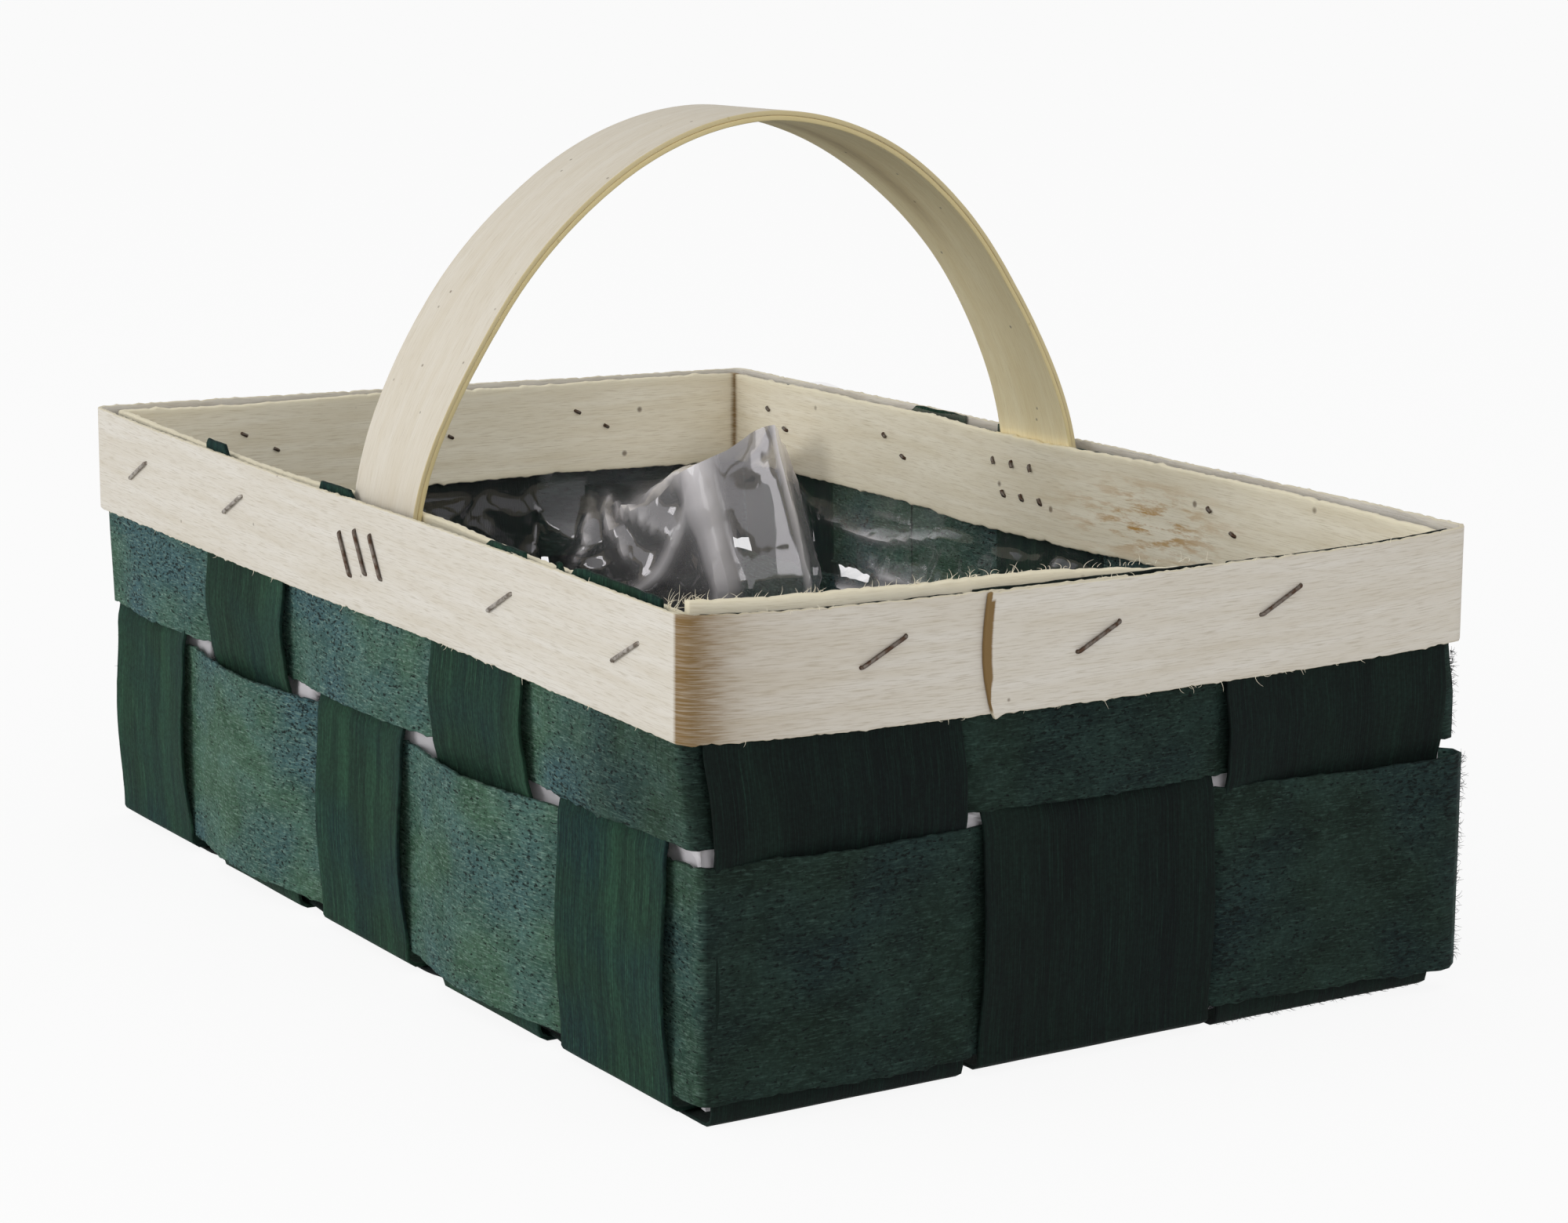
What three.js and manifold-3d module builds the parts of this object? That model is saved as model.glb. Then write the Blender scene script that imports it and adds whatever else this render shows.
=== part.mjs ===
// Woven chip-wood basket with a fixed arched handle and a film liner.
// Millimetres, +Z up. The origin is at the middle of the base's underside.
// X runs along the long sides, -Y is the front long side, +X is the side with the band's lap.

import * as THREE from 'three';
import { mergeVertices } from 'three/addons/utils/BufferGeometryUtils.js';
import Module from 'manifold-3d';

// Driving sizes of the whole basket
const bodyLength = 345;
const bodyWidth = 225;
const bodyHeight = 120;
const handleHeight = 217;

// Veneer, film and wire
const stakeThickness = 1.0;
const weaverThickness = 1.0;
const outerBandThickness = 1.2;
const innerBandThickness = 2.2;
const plyThickness = 1.3;
const filmThickness = 0.3;
const clearance = 0.3;
const glueLine = 0.1;

// Stakes: the cross stakes run across the base and up both long sides,
// the long stakes run along the base and up both short sides
const crossStakeCount = 5;
const crossStakeGap = 17;
const crossStakeSetback = 5;
const longStakeCount = 3;
const longStakeGap = 3.5;
const foldRadius = 2.5;
const stakeTopProud = 1.2;
const stakeBow = 1.1;

// Weavers: two rings woven round the stakes
const weaverLift = 5.5;
const lowerWeaverHeight = 55.5;
const weaverRowGap = 4;
const weaverTopRecess = 1;
const weaverBow = 1.3;
const wallCornerRadius = 2.5;

// Rim bands
const outerBandHeight = 29;
const innerBandHeight = 28.5;
const innerBandTopRecess = 0.8;
const bandCornerRadius = 3;
const creaseRadius = 0.3;
const lapStart = -33;
const lapLength = 40;
const lapRamp = 30;
const innerBandButtGap = 0.5;

// Handle
const handleWidth = 34;
const handleFootDrop = 27;
const handleSpringDrop = 10;
const handleRoundness = 1.86;
const handleCentreX = 2.5;
const handleSkew = 17;
const handleTwist = THREE.MathUtils.degToRad(10);
const bandRampRun = 45;

// Liner. The loose film bridges the back left corner in a standing pleat: its peak, its foot and
// its place on the floor are given in from that corner, and its runs along the two walls.
const linerTopProud = 1.6;
const linerClampDrop = 34;
const pleatShoulderDrop = 42;
const pleatPeakDrop = 10;
const pleatPeakInX = 55;
const pleatPeakInY = 21;
const pleatFootDrop = 58;
const pleatFootInX = 67;
const pleatFootInY = 17;
const pleatFloorInX = 50;
const pleatFloorInY = 14;
const pleatBackRun = 45;
const pleatLeftRun = 75;
const pleatLeftCurve = 1.5;

// Staples
const stapleCrown = 13.5;
const stapleWire = 1.1;
const stapleLeg = 1.0;
const stapleClinch = 3.6;
const stapleDrop = 12.5;
const stapleSlope = THREE.MathUtils.degToRad(27);
const handleStapleSlope = THREE.MathUtils.degToRad(53);
const handleStapleDrop = 13.5;
const handleStapleCount = 3;
const overrun = 2;

// Staple places, as shares of the width of the stake or handle foot that they fasten, from its
// middle. A null leaves the stake to the staples of the handle.
const crossStapleShares = [-0.05, -0.11, null, 0.3, 0.26];
const longStapleShares = [0.14, -0.05, -0.29];
const handleStaplePitchShare = 0.265;
const frontHandleStapleShare = -0.17;
const backHandleStapleShare = 0;

// How far each cross stake stands from its even place, as a share of its width
const crossStakeDriftShares = [-0.08, -0.03, 0, 0, -0.06];

// Smoothness of bends, in steps
const cornerSteps = 4;
const bendSteps = 3;
const bowSteps = 6;
const archSteps = 40;
const pleatSteps = 5;

// Places that follow from the driving sizes.
// Offsets count outwards from the middle of the woven wall.
const layer = (stakeThickness + weaverThickness) / 4 + clearance / 2;
const wallOuter = layer + Math.max(stakeThickness, weaverThickness) / 2;
const wallInner = -wallOuter;
const outerBandOffset = wallOuter + clearance + outerBandThickness / 2;
const wallX = bodyLength / 2 - outerBandOffset - outerBandThickness / 2;
const wallY = bodyWidth / 2 - outerBandOffset - outerBandThickness / 2;
const filmOffset = wallInner - clearance - filmThickness / 2;
const filmInner = filmOffset - filmThickness / 2;
const innerBandOffset = filmInner - clearance - innerBandThickness / 2;

// The stakes stand between the weavers' rounded corners
const cornerRun = layer + wallCornerRadius + clearance;
const crossStakeSpan = 2 * (wallX - cornerRun - crossStakeSetback);
const longStakeSpan = 2 * (wallY - cornerRun);
const crossStakeWidth = (crossStakeSpan - (crossStakeCount - 1) * crossStakeGap) / crossStakeCount;
const longStakeWidth = (longStakeSpan - (longStakeCount - 1) * longStakeGap) / longStakeCount;
const crossStakePitch = crossStakeWidth + crossStakeGap;
const longStakePitch = longStakeWidth + longStakeGap;
const crossPlaces = places(crossStakeCount, crossStakePitch).map((place, index) => {
  return place + (crossStakeDriftShares[index] ?? 0) * crossStakeWidth;
});
const longPlaces = places(longStakeCount, longStakePitch);

const baseLow = stakeThickness / 2;
const baseHigh = baseLow + stakeThickness + clearance;
const baseTop = baseHigh + stakeThickness / 2;
const stakeTop = bodyHeight + stakeTopProud;
const lowerWeaverTop = weaverLift + lowerWeaverHeight;
const upperWeaverBottom = lowerWeaverTop + weaverRowGap;
const upperWeaverTop = bodyHeight - weaverTopRecess;
const outerBandBottom = bodyHeight - outerBandHeight;
const innerBandTop = bodyHeight - innerBandTopRecess;
const handleFootZ = bodyHeight - handleFootDrop;
const handleSpringZ = bodyHeight - handleSpringDrop;

// The arch's outer face stands clear of the film, and the inner band clears its inner face at the rim
const handleThickness = 2 * plyThickness + glueLine;
const archHalfSpan = wallY + filmInner - clearance;
const archRise = handleHeight - handleSpringZ;
const archAtRim = archHalfSpan * archShare(innerBandTop);
const innerBandAtHandle =
  archAtRim - handleThickness - clearance - innerBandThickness / 2 - wallY;

// The four sides in turn, counter-clockwise from the front; across is the half-width to the side's
// wall and along is the half-length to the next side's wall
const sides = [
  { name: 'front', across: wallY, along: wallX, turn: 0 },
  { name: 'right', across: wallX, along: wallY, turn: 1 },
  { name: 'back', across: wallY, along: wallX, turn: 2 },
  { name: 'left', across: wallX, along: wallY, turn: 3 },
];

const wasm = await Module();
wasm.setup();

const finishes = {
  stake: { color: 0x234a3a, roughness: 0.72, metalness: 0 },
  weaver: { color: 0x3c5b54, roughness: 0.7, metalness: 0 },
  band: { color: 0xd9cfb9, roughness: 0.68, metalness: 0 },
  handle: { color: 0xdccfb4, roughness: 0.62, metalness: 0 },
  film: { color: 0xd7dcdc, roughness: 0.15, metalness: 0 },
  wire: { color: 0x6d6459, roughness: 0.5, metalness: 0.9 },
};

// Middles of a row of equal pieces, centred on zero
function places(count, pitch) {
  const first = (-pitch * (count - 1)) / 2;
  return Array.from({ length: count }, (_, index) => first + index * pitch);
}

// Soft step from 0 to 1
function ease(share) {
  const s = Math.min(Math.max(share, 0), 1);
  return s * s * (3 - 2 * s);
}

// Half-width of the handle's arch at a height, as a share of its half-span
function archShare(z) {
  const rise = Math.max(z - handleSpringZ, 0) / archRise;
  return Math.pow(1 - Math.pow(rise, handleRoundness), 1 / handleRoundness);
}

// Whether a cross stake lies on top of a long stake where they cross in the base
function crossOnTop(crossIndex, longIndex) {
  return (crossIndex + longIndex) % 2 === 0;
}

// Which stakes stand on each side, in the side's own running direction, and
// whether each stands outside the lower weaver there
function stakesOn(side) {
  const cross = side.turn % 2 === 0;
  const middles = cross ? crossPlaces : longPlaces;
  const width = cross ? crossStakeWidth : longStakeWidth;
  const backwards = side.turn >= 2;
  return middles.map((_, order) => {
    const index = backwards ? middles.length - 1 - order : order;
    const farLong = side.turn === 2 ? longStakeCount - 1 : 0;
    const farCross = side.turn === 1 ? crossStakeCount - 1 : 0;
    const onTop = cross ? crossOnTop(index, farLong) : !crossOnTop(farCross, index);
    const middle = backwards ? -middles[index] : middles[index];
    return { index, middle, half: width / 2, outsideLower: onTop };
  });
}

// Turns a place on a side, given along and out from the middle of the basket, to X and Y
function toPlan(side, along, out) {
  const [x, y] = [along, -out];
  return [
    new THREE.Vector2(x, y),
    new THREE.Vector2(-y, x),
    new THREE.Vector2(-x, -y),
    new THREE.Vector2(y, -x),
  ][side.turn];
}

// Places where a soft step from one offset to the next is drawn
function stepStations(from, to) {
  return Array.from({ length: bendSteps + 1 }, (_, i) => from + ((to - from) * i) / bendSteps);
}

function bowStations(from, to) {
  return Array.from({ length: bowSteps + 1 }, (_, i) => from + ((to - from) * i) / bowSteps);
}

// A weaver's offset from the wall's middle at a place along a side
function weaverOffset(side, lower, along) {
  const stakes = stakesOn(side);
  const sign = (stake) => (stake.outsideLower === lower ? -1 : 1);
  const next = stakes.findIndex((stake) => along < stake.middle - stake.half);
  const here = stakes.find((stake) => Math.abs(along - stake.middle) <= stake.half);
  if (here) {
    const share = (along - here.middle) / here.half;
    const bow = lower && sign(here) > 0 ? weaverBow * Math.pow(Math.cos((share * Math.PI) / 2), 2) : 0;
    return sign(here) * layer + bow;
  }
  if (next <= 0) return sign(next === 0 ? stakes[0] : stakes[stakes.length - 1]) * layer;
  const [before, after] = [stakes[next - 1], stakes[next]];
  const start = before.middle + before.half;
  const end = after.middle - after.half;
  return THREE.MathUtils.lerp(sign(before), sign(after), ease((along - start) / (end - start))) * layer;
}

function weaverStations(side, lower) {
  const stakes = stakesOn(side);
  const stations = [];
  stakes.forEach((stake, order) => {
    const [start, end] = [stake.middle - stake.half, stake.middle + stake.half];
    const bowed = lower && stake.outsideLower !== lower;
    stations.push(...(bowed ? bowStations(start, end) : [start, end]));
    const after = stakes[order + 1];
    if (after) stations.push(...stepStations(end, after.middle - after.half).slice(1, -1));
  });
  return stations;
}

// The inner band's offset: it hugs the film, and swings in to pass the handle's feet
function innerBandOffsetAt(side, along) {
  if (side.turn % 2 === 1) return innerBandOffset;
  const foot = footCentre(side) * (side.turn === 0 ? 1 : -1);
  const past = (Math.abs(along - foot) - handleWidth / 2 - clearance) / bandRampRun;
  return THREE.MathUtils.lerp(innerBandAtHandle, innerBandOffset, ease(past));
}

function innerBandStations(side) {
  if (side.turn % 2 === 1) return [];
  const foot = footCentre(side) * (side.turn === 0 ? 1 : -1);
  const near = handleWidth / 2 + clearance;
  return [
    ...bowStations(foot - near - bandRampRun, foot - near),
    ...bowStations(foot + near, foot + near + bandRampRun),
  ];
}

// X of the middle of the handle's foot on the front or back side
function footCentre(side) {
  return handleCentreX + (side.turn === 0 ? 1 : -1) * (handleSkew / 2);
}

// Points along one face of a strip that runs round a side, from one place to another
function sidePoints(side, offsetAt, stations, from, to, face) {
  const kept = stations.filter((along) => along > from && along < to);
  return [from, ...kept, to].map((along) => {
    return toPlan(side, along, side.across + offsetAt(side, along) + face);
  });
}

// Points round the corner from one side to the next
function cornerPoints(side, offsetAt, radius, face) {
  const nextSide = sides[(side.turn + 1) % sides.length];
  const out = side.across + offsetAt(side, side.along) - radius;
  const along = side.along + offsetAt(nextSide, -nextSide.along) - radius;
  return Array.from({ length: cornerSteps - 1 }, (_, i) => {
    const angle = ((i + 1) / cornerSteps) * (Math.PI / 2);
    const reach = radius + face;
    return toPlan(side, along + reach * Math.sin(angle), out + reach * Math.cos(angle));
  });
}

// Where the straight stretch of a side ends, before its corner
function straightEnd(side, offsetAt, radius, atStart) {
  const step = atStart ? sides.length - 1 : 1;
  const neighbour = sides[(side.turn + step) % sides.length];
  const neighbourEnd = atStart ? neighbour.along : -neighbour.along;
  const end = side.along + offsetAt(neighbour, neighbourEnd) - radius;
  return atStart ? -end : end;
}

// One face of a strip that goes right round the basket
function ringPoints(offsetAt, stationsOn, radius, face) {
  return sides.flatMap((side) => [
    ...sidePoints(
      side,
      offsetAt,
      stationsOn(side),
      straightEnd(side, offsetAt, radius, true),
      straightEnd(side, offsetAt, radius, false),
      face,
    ),
    ...cornerPoints(side, offsetAt, radius, face),
  ]);
}

function closedRing(offsetAt, stationsOn, radius, thickness, bottom, top) {
  const outline = new THREE.Shape(ringPoints(offsetAt, stationsOn, radius, thickness / 2));
  outline.holes.push(new THREE.Path(ringPoints(offsetAt, stationsOn, radius, -thickness / 2)));
  const geometry = new THREE.ExtrudeGeometry(outline, { depth: top - bottom, bevelEnabled: false });
  return geometry.translate(0, 0, bottom);
}

function openStrip(facePoints, bottom, top, thickness) {
  const outline = new THREE.Shape([
    ...facePoints(thickness / 2),
    ...facePoints(-thickness / 2).reverse(),
  ]);
  const geometry = new THREE.ExtrudeGeometry(outline, { depth: top - bottom, bevelEnabled: false });
  return geometry.translate(0, 0, bottom);
}

// Outer band: one strip, whose start lies over its end on the right side
function outerBand() {
  const [front, right, back, left] = sides;
  const lapEnd = lapStart + lapLength;
  const flat = () => outerBandOffset;
  const lapRise = outerBandThickness + clearance;
  const lapped = (side, along) => outerBandOffset + lapRise * (1 - ease((along - lapEnd) / lapRamp));
  const none = [];
  const radius = bandCornerRadius;
  const end = (side, atStart) => straightEnd(side, flat, radius, atStart);
  const whole = (side, face) => sidePoints(side, flat, none, end(side, true), end(side, false), face);
  const facePoints = (face) => [
    ...sidePoints(right, lapped, bowStations(lapEnd, lapEnd + lapRamp), lapStart, end(right, false), face),
    ...cornerPoints(right, flat, radius, face),
    ...whole(back, face),
    ...cornerPoints(back, flat, radius, face),
    ...whole(left, face),
    ...cornerPoints(left, flat, radius, face),
    ...whole(front, face),
    ...cornerPoints(front, flat, radius, face),
    ...sidePoints(right, flat, none, end(right, true), lapEnd, face),
  ];
  return openStrip(facePoints, outerBandBottom, bodyHeight, outerBandThickness);
}

// Inner band: a stiffer strip whose ends butt in the front right corner
function innerBand() {
  const [front, right, back, left] = sides;
  const radius = innerBandThickness / 2 + creaseRadius;
  const end = (side, atStart) => straightEnd(side, innerBandOffsetAt, radius, atStart);
  const buttY = front.across + innerBandOffsetAt(front, front.along) + innerBandThickness / 2;
  const buttX = right.across + innerBandOffset - innerBandThickness / 2 - innerBandButtGap;
  const along = (side, from, to, face) =>
    sidePoints(side, innerBandOffsetAt, innerBandStations(side), from, to, face);
  const facePoints = (face) => [
    ...along(right, -buttY, end(right, false), face),
    ...cornerPoints(right, innerBandOffsetAt, radius, face),
    ...along(back, end(back, true), end(back, false), face),
    ...cornerPoints(back, innerBandOffsetAt, radius, face),
    ...along(left, end(left, true), end(left, false), face),
    ...cornerPoints(left, innerBandOffsetAt, radius, face),
    ...along(front, end(front, true), buttX, face),
  ];
  return openStrip(facePoints, innerBandTop - innerBandHeight, innerBandTop, innerBandThickness);
}

// A stake's length section: down one wall, across the base and up the other.
// onTop tells for each base crossing whether this stake lies on top there.
function stakePoints(wall, middles, half, onTop, face) {
  const points = [];
  const outsideAt = (lower, atEnd) => (atEnd === lower ? 1 : -1) * layer;
  const bowAt = (z, from, to) => stakeBow * Math.pow(Math.sin((Math.PI * (z - from)) / (to - from)), 2);
  const side = (end, adjacent) => {
    const down = [];
    const upperOffset = outsideAt(false, adjacent);
    const lowerOffset = outsideAt(true, adjacent);
    down.push([stakeTop, upperOffset]);
    if (!adjacent) {
      bowStations(outerBandBottom, upperWeaverBottom).forEach((z) => {
        down.push([z, upperOffset + bowAt(z, upperWeaverBottom, outerBandBottom)]);
      });
    } else {
      down.push([upperWeaverBottom, upperOffset]);
    }
    stepStations(upperWeaverBottom, lowerWeaverTop).slice(1, -1).forEach((z) => {
      const share = ease((upperWeaverBottom - z) / weaverRowGap);
      down.push([z, THREE.MathUtils.lerp(upperOffset, lowerOffset, share)]);
    });
    if (adjacent) {
      bowStations(lowerWeaverTop, weaverLift).forEach((z) => {
        down.push([z, lowerOffset + bowAt(z, weaverLift, lowerWeaverTop)]);
      });
    } else {
      down.push([lowerWeaverTop, lowerOffset]);
    }
    const level = adjacent ? baseHigh : baseLow;
    const run = down.map(([z, offset]) => [end * (wall + offset + face), z]);
    for (let i = 0; i <= bendSteps; i += 1) {
      const angle = ((i / bendSteps) * Math.PI) / 2;
      const reach = foldRadius + face;
      const centre = wall + lowerOffset - foldRadius;
      run.push([end * (centre + reach * Math.cos(angle)), level + foldRadius - reach * Math.sin(angle)]);
    }
    return run;
  };
  const lastCrossing = onTop.length - 1;
  points.push(...side(-1, onTop[0]));
  onTop.forEach((top, order) => {
    const level = (isTop) => (isTop ? baseHigh : baseLow) - face;
    if (order === lastCrossing) return;
    const start = middles[order] + half;
    const finish = middles[order + 1] - half;
    stepStations(start, finish).forEach((u) => {
      const share = ease((u - start) / (finish - start));
      points.push([u, THREE.MathUtils.lerp(level(top), level(onTop[order + 1]), share)]);
    });
  });
  points.push(...side(1, onTop[lastCrossing]).reverse());
  return points.map(([u, z]) => new THREE.Vector2(u, z));
}

function stake(wall, middles, half, onTop, width) {
  const outline = new THREE.Shape([
    ...stakePoints(wall, middles, half, onTop, stakeThickness / 2),
    ...stakePoints(wall, middles, half, onTop, -stakeThickness / 2).reverse(),
  ]);
  const geometry = new THREE.ExtrudeGeometry(outline, { depth: width, bevelEnabled: false });
  return geometry.translate(0, 0, -width / 2);
}

function crossStake(index) {
  const onTop = longPlaces.map((_, longIndex) => crossOnTop(index, longIndex));
  const geometry = stake(wallY, longPlaces, longStakeWidth / 2, onTop, crossStakeWidth);
  geometry.rotateX(Math.PI / 2).rotateZ(Math.PI / 2);
  return geometry.translate(crossPlaces[index], 0, 0);
}

function longStake(index) {
  const onTop = crossPlaces.map((_, crossIndex) => !crossOnTop(crossIndex, index));
  const geometry = stake(wallX, crossPlaces, crossStakeWidth / 2, onTop, longStakeWidth);
  geometry.rotateX(Math.PI / 2);
  return geometry.translate(0, longPlaces[index], 0);
}

// One ply of the handle: an arch in the Y-Z plane, then skewed and twisted a little
function handlePly(outer) {
  const faceIn = outer ? 0 : plyThickness + glueLine;
  const archPoints = (inward) => {
    const span = archHalfSpan - inward;
    const rise = archRise - inward;
    const points = [new THREE.Vector2(-span, handleFootZ)];
    for (let i = 0; i <= archSteps; i += 1) {
      const angle = (i / archSteps) * Math.PI;
      const c = Math.cos(angle);
      const y = -span * Math.sign(c) * Math.pow(Math.abs(c), 2 / handleRoundness);
      const z = handleSpringZ + rise * Math.pow(Math.sin(angle), 2 / handleRoundness);
      points.push(new THREE.Vector2(y, z));
    }
    points.push(new THREE.Vector2(span, handleFootZ));
    return points;
  };
  const outline = new THREE.Shape([...archPoints(faceIn), ...archPoints(faceIn + plyThickness).reverse()]);
  const geometry = new THREE.ExtrudeGeometry(outline, { depth: handleWidth, bevelEnabled: false });
  geometry.translate(0, 0, -handleWidth / 2).rotateX(Math.PI / 2).rotateZ(Math.PI / 2);
  const position = geometry.attributes.position;
  for (let i = 0; i < position.count; i += 1) {
    const [x, y, z] = [position.getX(i), position.getY(i), position.getZ(i)];
    const rise = Math.max(z - handleSpringZ, 0) / archRise;
    const twist = handleTwist * ease(rise);
    const centre = handleCentreX - (handleSkew / 2) * (y / archHalfSpan);
    position.setXYZ(i, centre + x * Math.cos(twist), y + x * Math.sin(twist), z);
  }
  return geometry;
}

// How far the pleat pulls a point of the film's ring away from its corner, from 0 to 1
function pleatPull(point) {
  const alongBack = Math.max(point.x + wallX + filmOffset, 0) / pleatBackRun;
  const alongLeft = Math.max(wallY + filmOffset - point.y, 0) / pleatLeftRun;
  return Math.max(1 - alongBack - Math.pow(alongLeft, pleatLeftCurve), 0);
}

function pleatStations(side) {
  const steps = Array.from({ length: pleatSteps }, (_, i) => (i + 1) / pleatSteps);
  if (side.name === 'back') return steps.map((step) => wallX + filmOffset - step * pleatBackRun).reverse();
  if (side.name === 'left') return steps.map((step) => step * pleatLeftRun - wallY - filmOffset);
  return [];
}

// The middle surface of the film, as rows of points from its top edge down to the floor
function linerRows() {
  const ring = ringPoints(() => filmOffset, pleatStations, wallCornerRadius + filmOffset, 0);
  const row = (inX, inY, heightAt) =>
    ring.map((point) => {
      const pull = pleatPull(point);
      return new THREE.Vector3(point.x + pull * inX, point.y - pull * inY, heightAt(pull));
    });
  const floor = baseTop + clearance + filmThickness / 2;
  const shoulder = bodyHeight - pleatShoulderDrop;
  const peak = bodyHeight - pleatPeakDrop;
  return [
    row(0, 0, () => bodyHeight + linerTopProud),
    row(0, 0, () => bodyHeight - linerClampDrop),
    row(pleatPeakInX, pleatPeakInY, (pull) => THREE.MathUtils.lerp(shoulder, peak, pull)),
    row(pleatFootInX, pleatFootInY, () => bodyHeight - pleatFootDrop),
    row(pleatFloorInX, pleatFloorInY, () => floor),
  ];
}

// Triangles of the film's middle surface, facing out of the basket
function linerFaces(rows) {
  const columns = rows[0].length;
  const at = (row, column) => row * columns + (column % columns);
  const walls = rows.slice(1).flatMap((_, row) =>
    rows[0].flatMap((__, column) => {
      const [a, b] = [at(row, column), at(row, column + 1)];
      const [c, d] = [at(row + 1, column + 1), at(row + 1, column)];
      return [[a, d, c], [a, c, b]];
    }),
  );
  const last = rows.length - 1;
  const outline = rows[last].map((point) => new THREE.Vector2(point.x, point.y));
  const floor = THREE.ShapeUtils.triangulateShape(outline, []).map((face) => {
    return face.map((column) => at(last, column)).reverse();
  });
  return [...walls, ...floor];
}

// Liner: the film's middle surface, given its thickness and closed along the top edge
function liner() {
  const rows = linerRows();
  const faces = linerFaces(rows);
  const points = rows.flat();
  const middle = new THREE.BufferGeometry().setFromPoints(points);
  middle.setIndex(faces.flat());
  middle.computeVertexNormals();
  const normals = middle.attributes.normal;
  const moved = (distance) =>
    points.map((point, i) => {
      const normal = new THREE.Vector3().fromBufferAttribute(normals, i);
      return point.clone().addScaledVector(normal, distance);
    });
  const geometry = new THREE.BufferGeometry().setFromPoints([
    ...moved(filmThickness / 2),
    ...moved(-filmThickness / 2),
  ]);
  const inner = points.length;
  const columns = rows[0].length;
  const topEdge = rows[0].flatMap((_, column) => {
    const next = (column + 1) % columns;
    return [[column, next, inner + next], [column, inner + next, inner + column]];
  });
  const inside = faces.map((face) => face.map((corner) => inner + corner).reverse());
  geometry.setIndex([...faces, ...inside, ...topEdge].flat());
  return geometry;
}

// Every staple: the side it is on, the middle of its crown, its slope and the depth of its stack
function staplePlan() {
  const plan = [];
  sides.forEach((side) => {
    const shares = side.turn % 2 === 0 ? crossStapleShares : longStapleShares;
    const direction = side.turn >= 2 ? -1 : 1;
    stakesOn(side).forEach((stakeHere, order) => {
      const share = shares[stakeHere.index];
      if (share === null || share === undefined) return;
      plan.push({
        name: `staple_${side.name}_${order + 1}`,
        side,
        along: stakeHere.middle + direction * share * 2 * stakeHere.half,
        z: bodyHeight - stapleDrop,
        slope: stapleSlope,
      });
    });
    if (side.turn % 2 === 1) return;
    const share = side.turn === 0 ? frontHandleStapleShare : backHandleStapleShare;
    places(handleStapleCount, handleStaplePitchShare * handleWidth).forEach((place, order) => {
      plan.push({
        name: `staple_${side.name}_handle_${order + 1}`,
        side,
        along: direction * (footCentre(side) + share * handleWidth) + place,
        z: bodyHeight - handleStapleDrop,
        slope: -direction * handleStapleSlope,
      });
    });
  });
  return plan;
}

// How far out the band's face stands, and how far in the inner band's face, behind a crown
function stackAt(side, along) {
  const reach = (Math.cos(stapleSlope) * stapleCrown) / 2;
  const overLap = side.turn === 1 && along + reach > lapStart && along - reach < lapStart + lapLength + lapRamp;
  const lap = overLap ? outerBandThickness + clearance : 0;
  const outside = outerBandOffset + outerBandThickness / 2 + lap;
  const deepest = Math.min(innerBandOffsetAt(side, along - reach), innerBandOffsetAt(side, along + reach));
  return { outside, inside: deepest - innerBandThickness / 2 };
}

// A staple lying in its own frame: crown along X, legs towards -Y, wire width along Z
function stapleShape(depth) {
  const half = stapleCrown / 2;
  const outerLeg = half + stapleLeg / 2;
  const innerLeg = half - stapleLeg / 2;
  const crownIn = clearance;
  const crownOut = clearance + stapleWire;
  const clinchOut = -depth - clearance;
  const clinchIn = clinchOut - stapleWire;
  const tip = innerLeg - stapleClinch;
  const rounding = stapleLeg / 2;
  const shape = new THREE.Shape();
  shape.moveTo(-outerLeg, clinchIn + rounding);
  shape.lineTo(-outerLeg, crownOut - rounding);
  shape.lineTo(-outerLeg + rounding, crownOut);
  shape.lineTo(outerLeg - rounding, crownOut);
  shape.lineTo(outerLeg, crownOut - rounding);
  shape.lineTo(outerLeg, clinchIn + rounding);
  shape.lineTo(outerLeg - rounding, clinchIn);
  shape.lineTo(tip, clinchIn);
  shape.lineTo(tip, clinchOut);
  shape.lineTo(innerLeg, clinchOut);
  shape.lineTo(innerLeg, crownIn);
  shape.lineTo(-innerLeg, crownIn);
  shape.lineTo(-innerLeg, clinchOut);
  shape.lineTo(-tip, clinchOut);
  shape.lineTo(-tip, clinchIn);
  shape.lineTo(-outerLeg + rounding, clinchIn);
  return shape;
}

// Turns a piece from the staple's own frame to its place on the basket
function placeStaple(geometry, staple, outside) {
  geometry.rotateZ(Math.PI).rotateY(-staple.slope);
  geometry.translate(staple.along, -(staple.side.across + outside), staple.z);
  return geometry.rotateZ((staple.side.turn * Math.PI) / 2);
}

function stapleGeometry(staple) {
  const { outside, inside } = stackAt(staple.side, staple.along);
  const geometry = new THREE.ExtrudeGeometry(stapleShape(outside - inside), {
    depth: stapleWire,
    bevelEnabled: false,
  });
  return placeStaple(geometry.translate(0, 0, -stapleWire / 2), staple, outside);
}

// The two holes that a staple's legs make through everything they clamp
function stapleHoles(staple) {
  const { outside, inside } = stackAt(staple.side, staple.along);
  const depth = outside - inside + 2 * overrun;
  return [-1, 1].map((end) => {
    const box = new THREE.BoxGeometry(stapleLeg + 2 * clearance, depth, stapleWire + 2 * clearance);
    box.translate((end * stapleCrown) / 2, overrun - depth / 2, 0);
    return solid(placeStaple(box, staple, outside));
  });
}

// A closed mesh as a solid, and back
function solid(geometry) {
  const bare = geometry.clone();
  bare.deleteAttribute('normal');
  bare.deleteAttribute('uv');
  const merged = mergeVertices(bare);
  return new wasm.Manifold(
    new wasm.Mesh({
      numProp: 3,
      vertProperties: new Float32Array(merged.attributes.position.array),
      triVerts: new Uint32Array(merged.index.array),
    }),
  );
}

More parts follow.
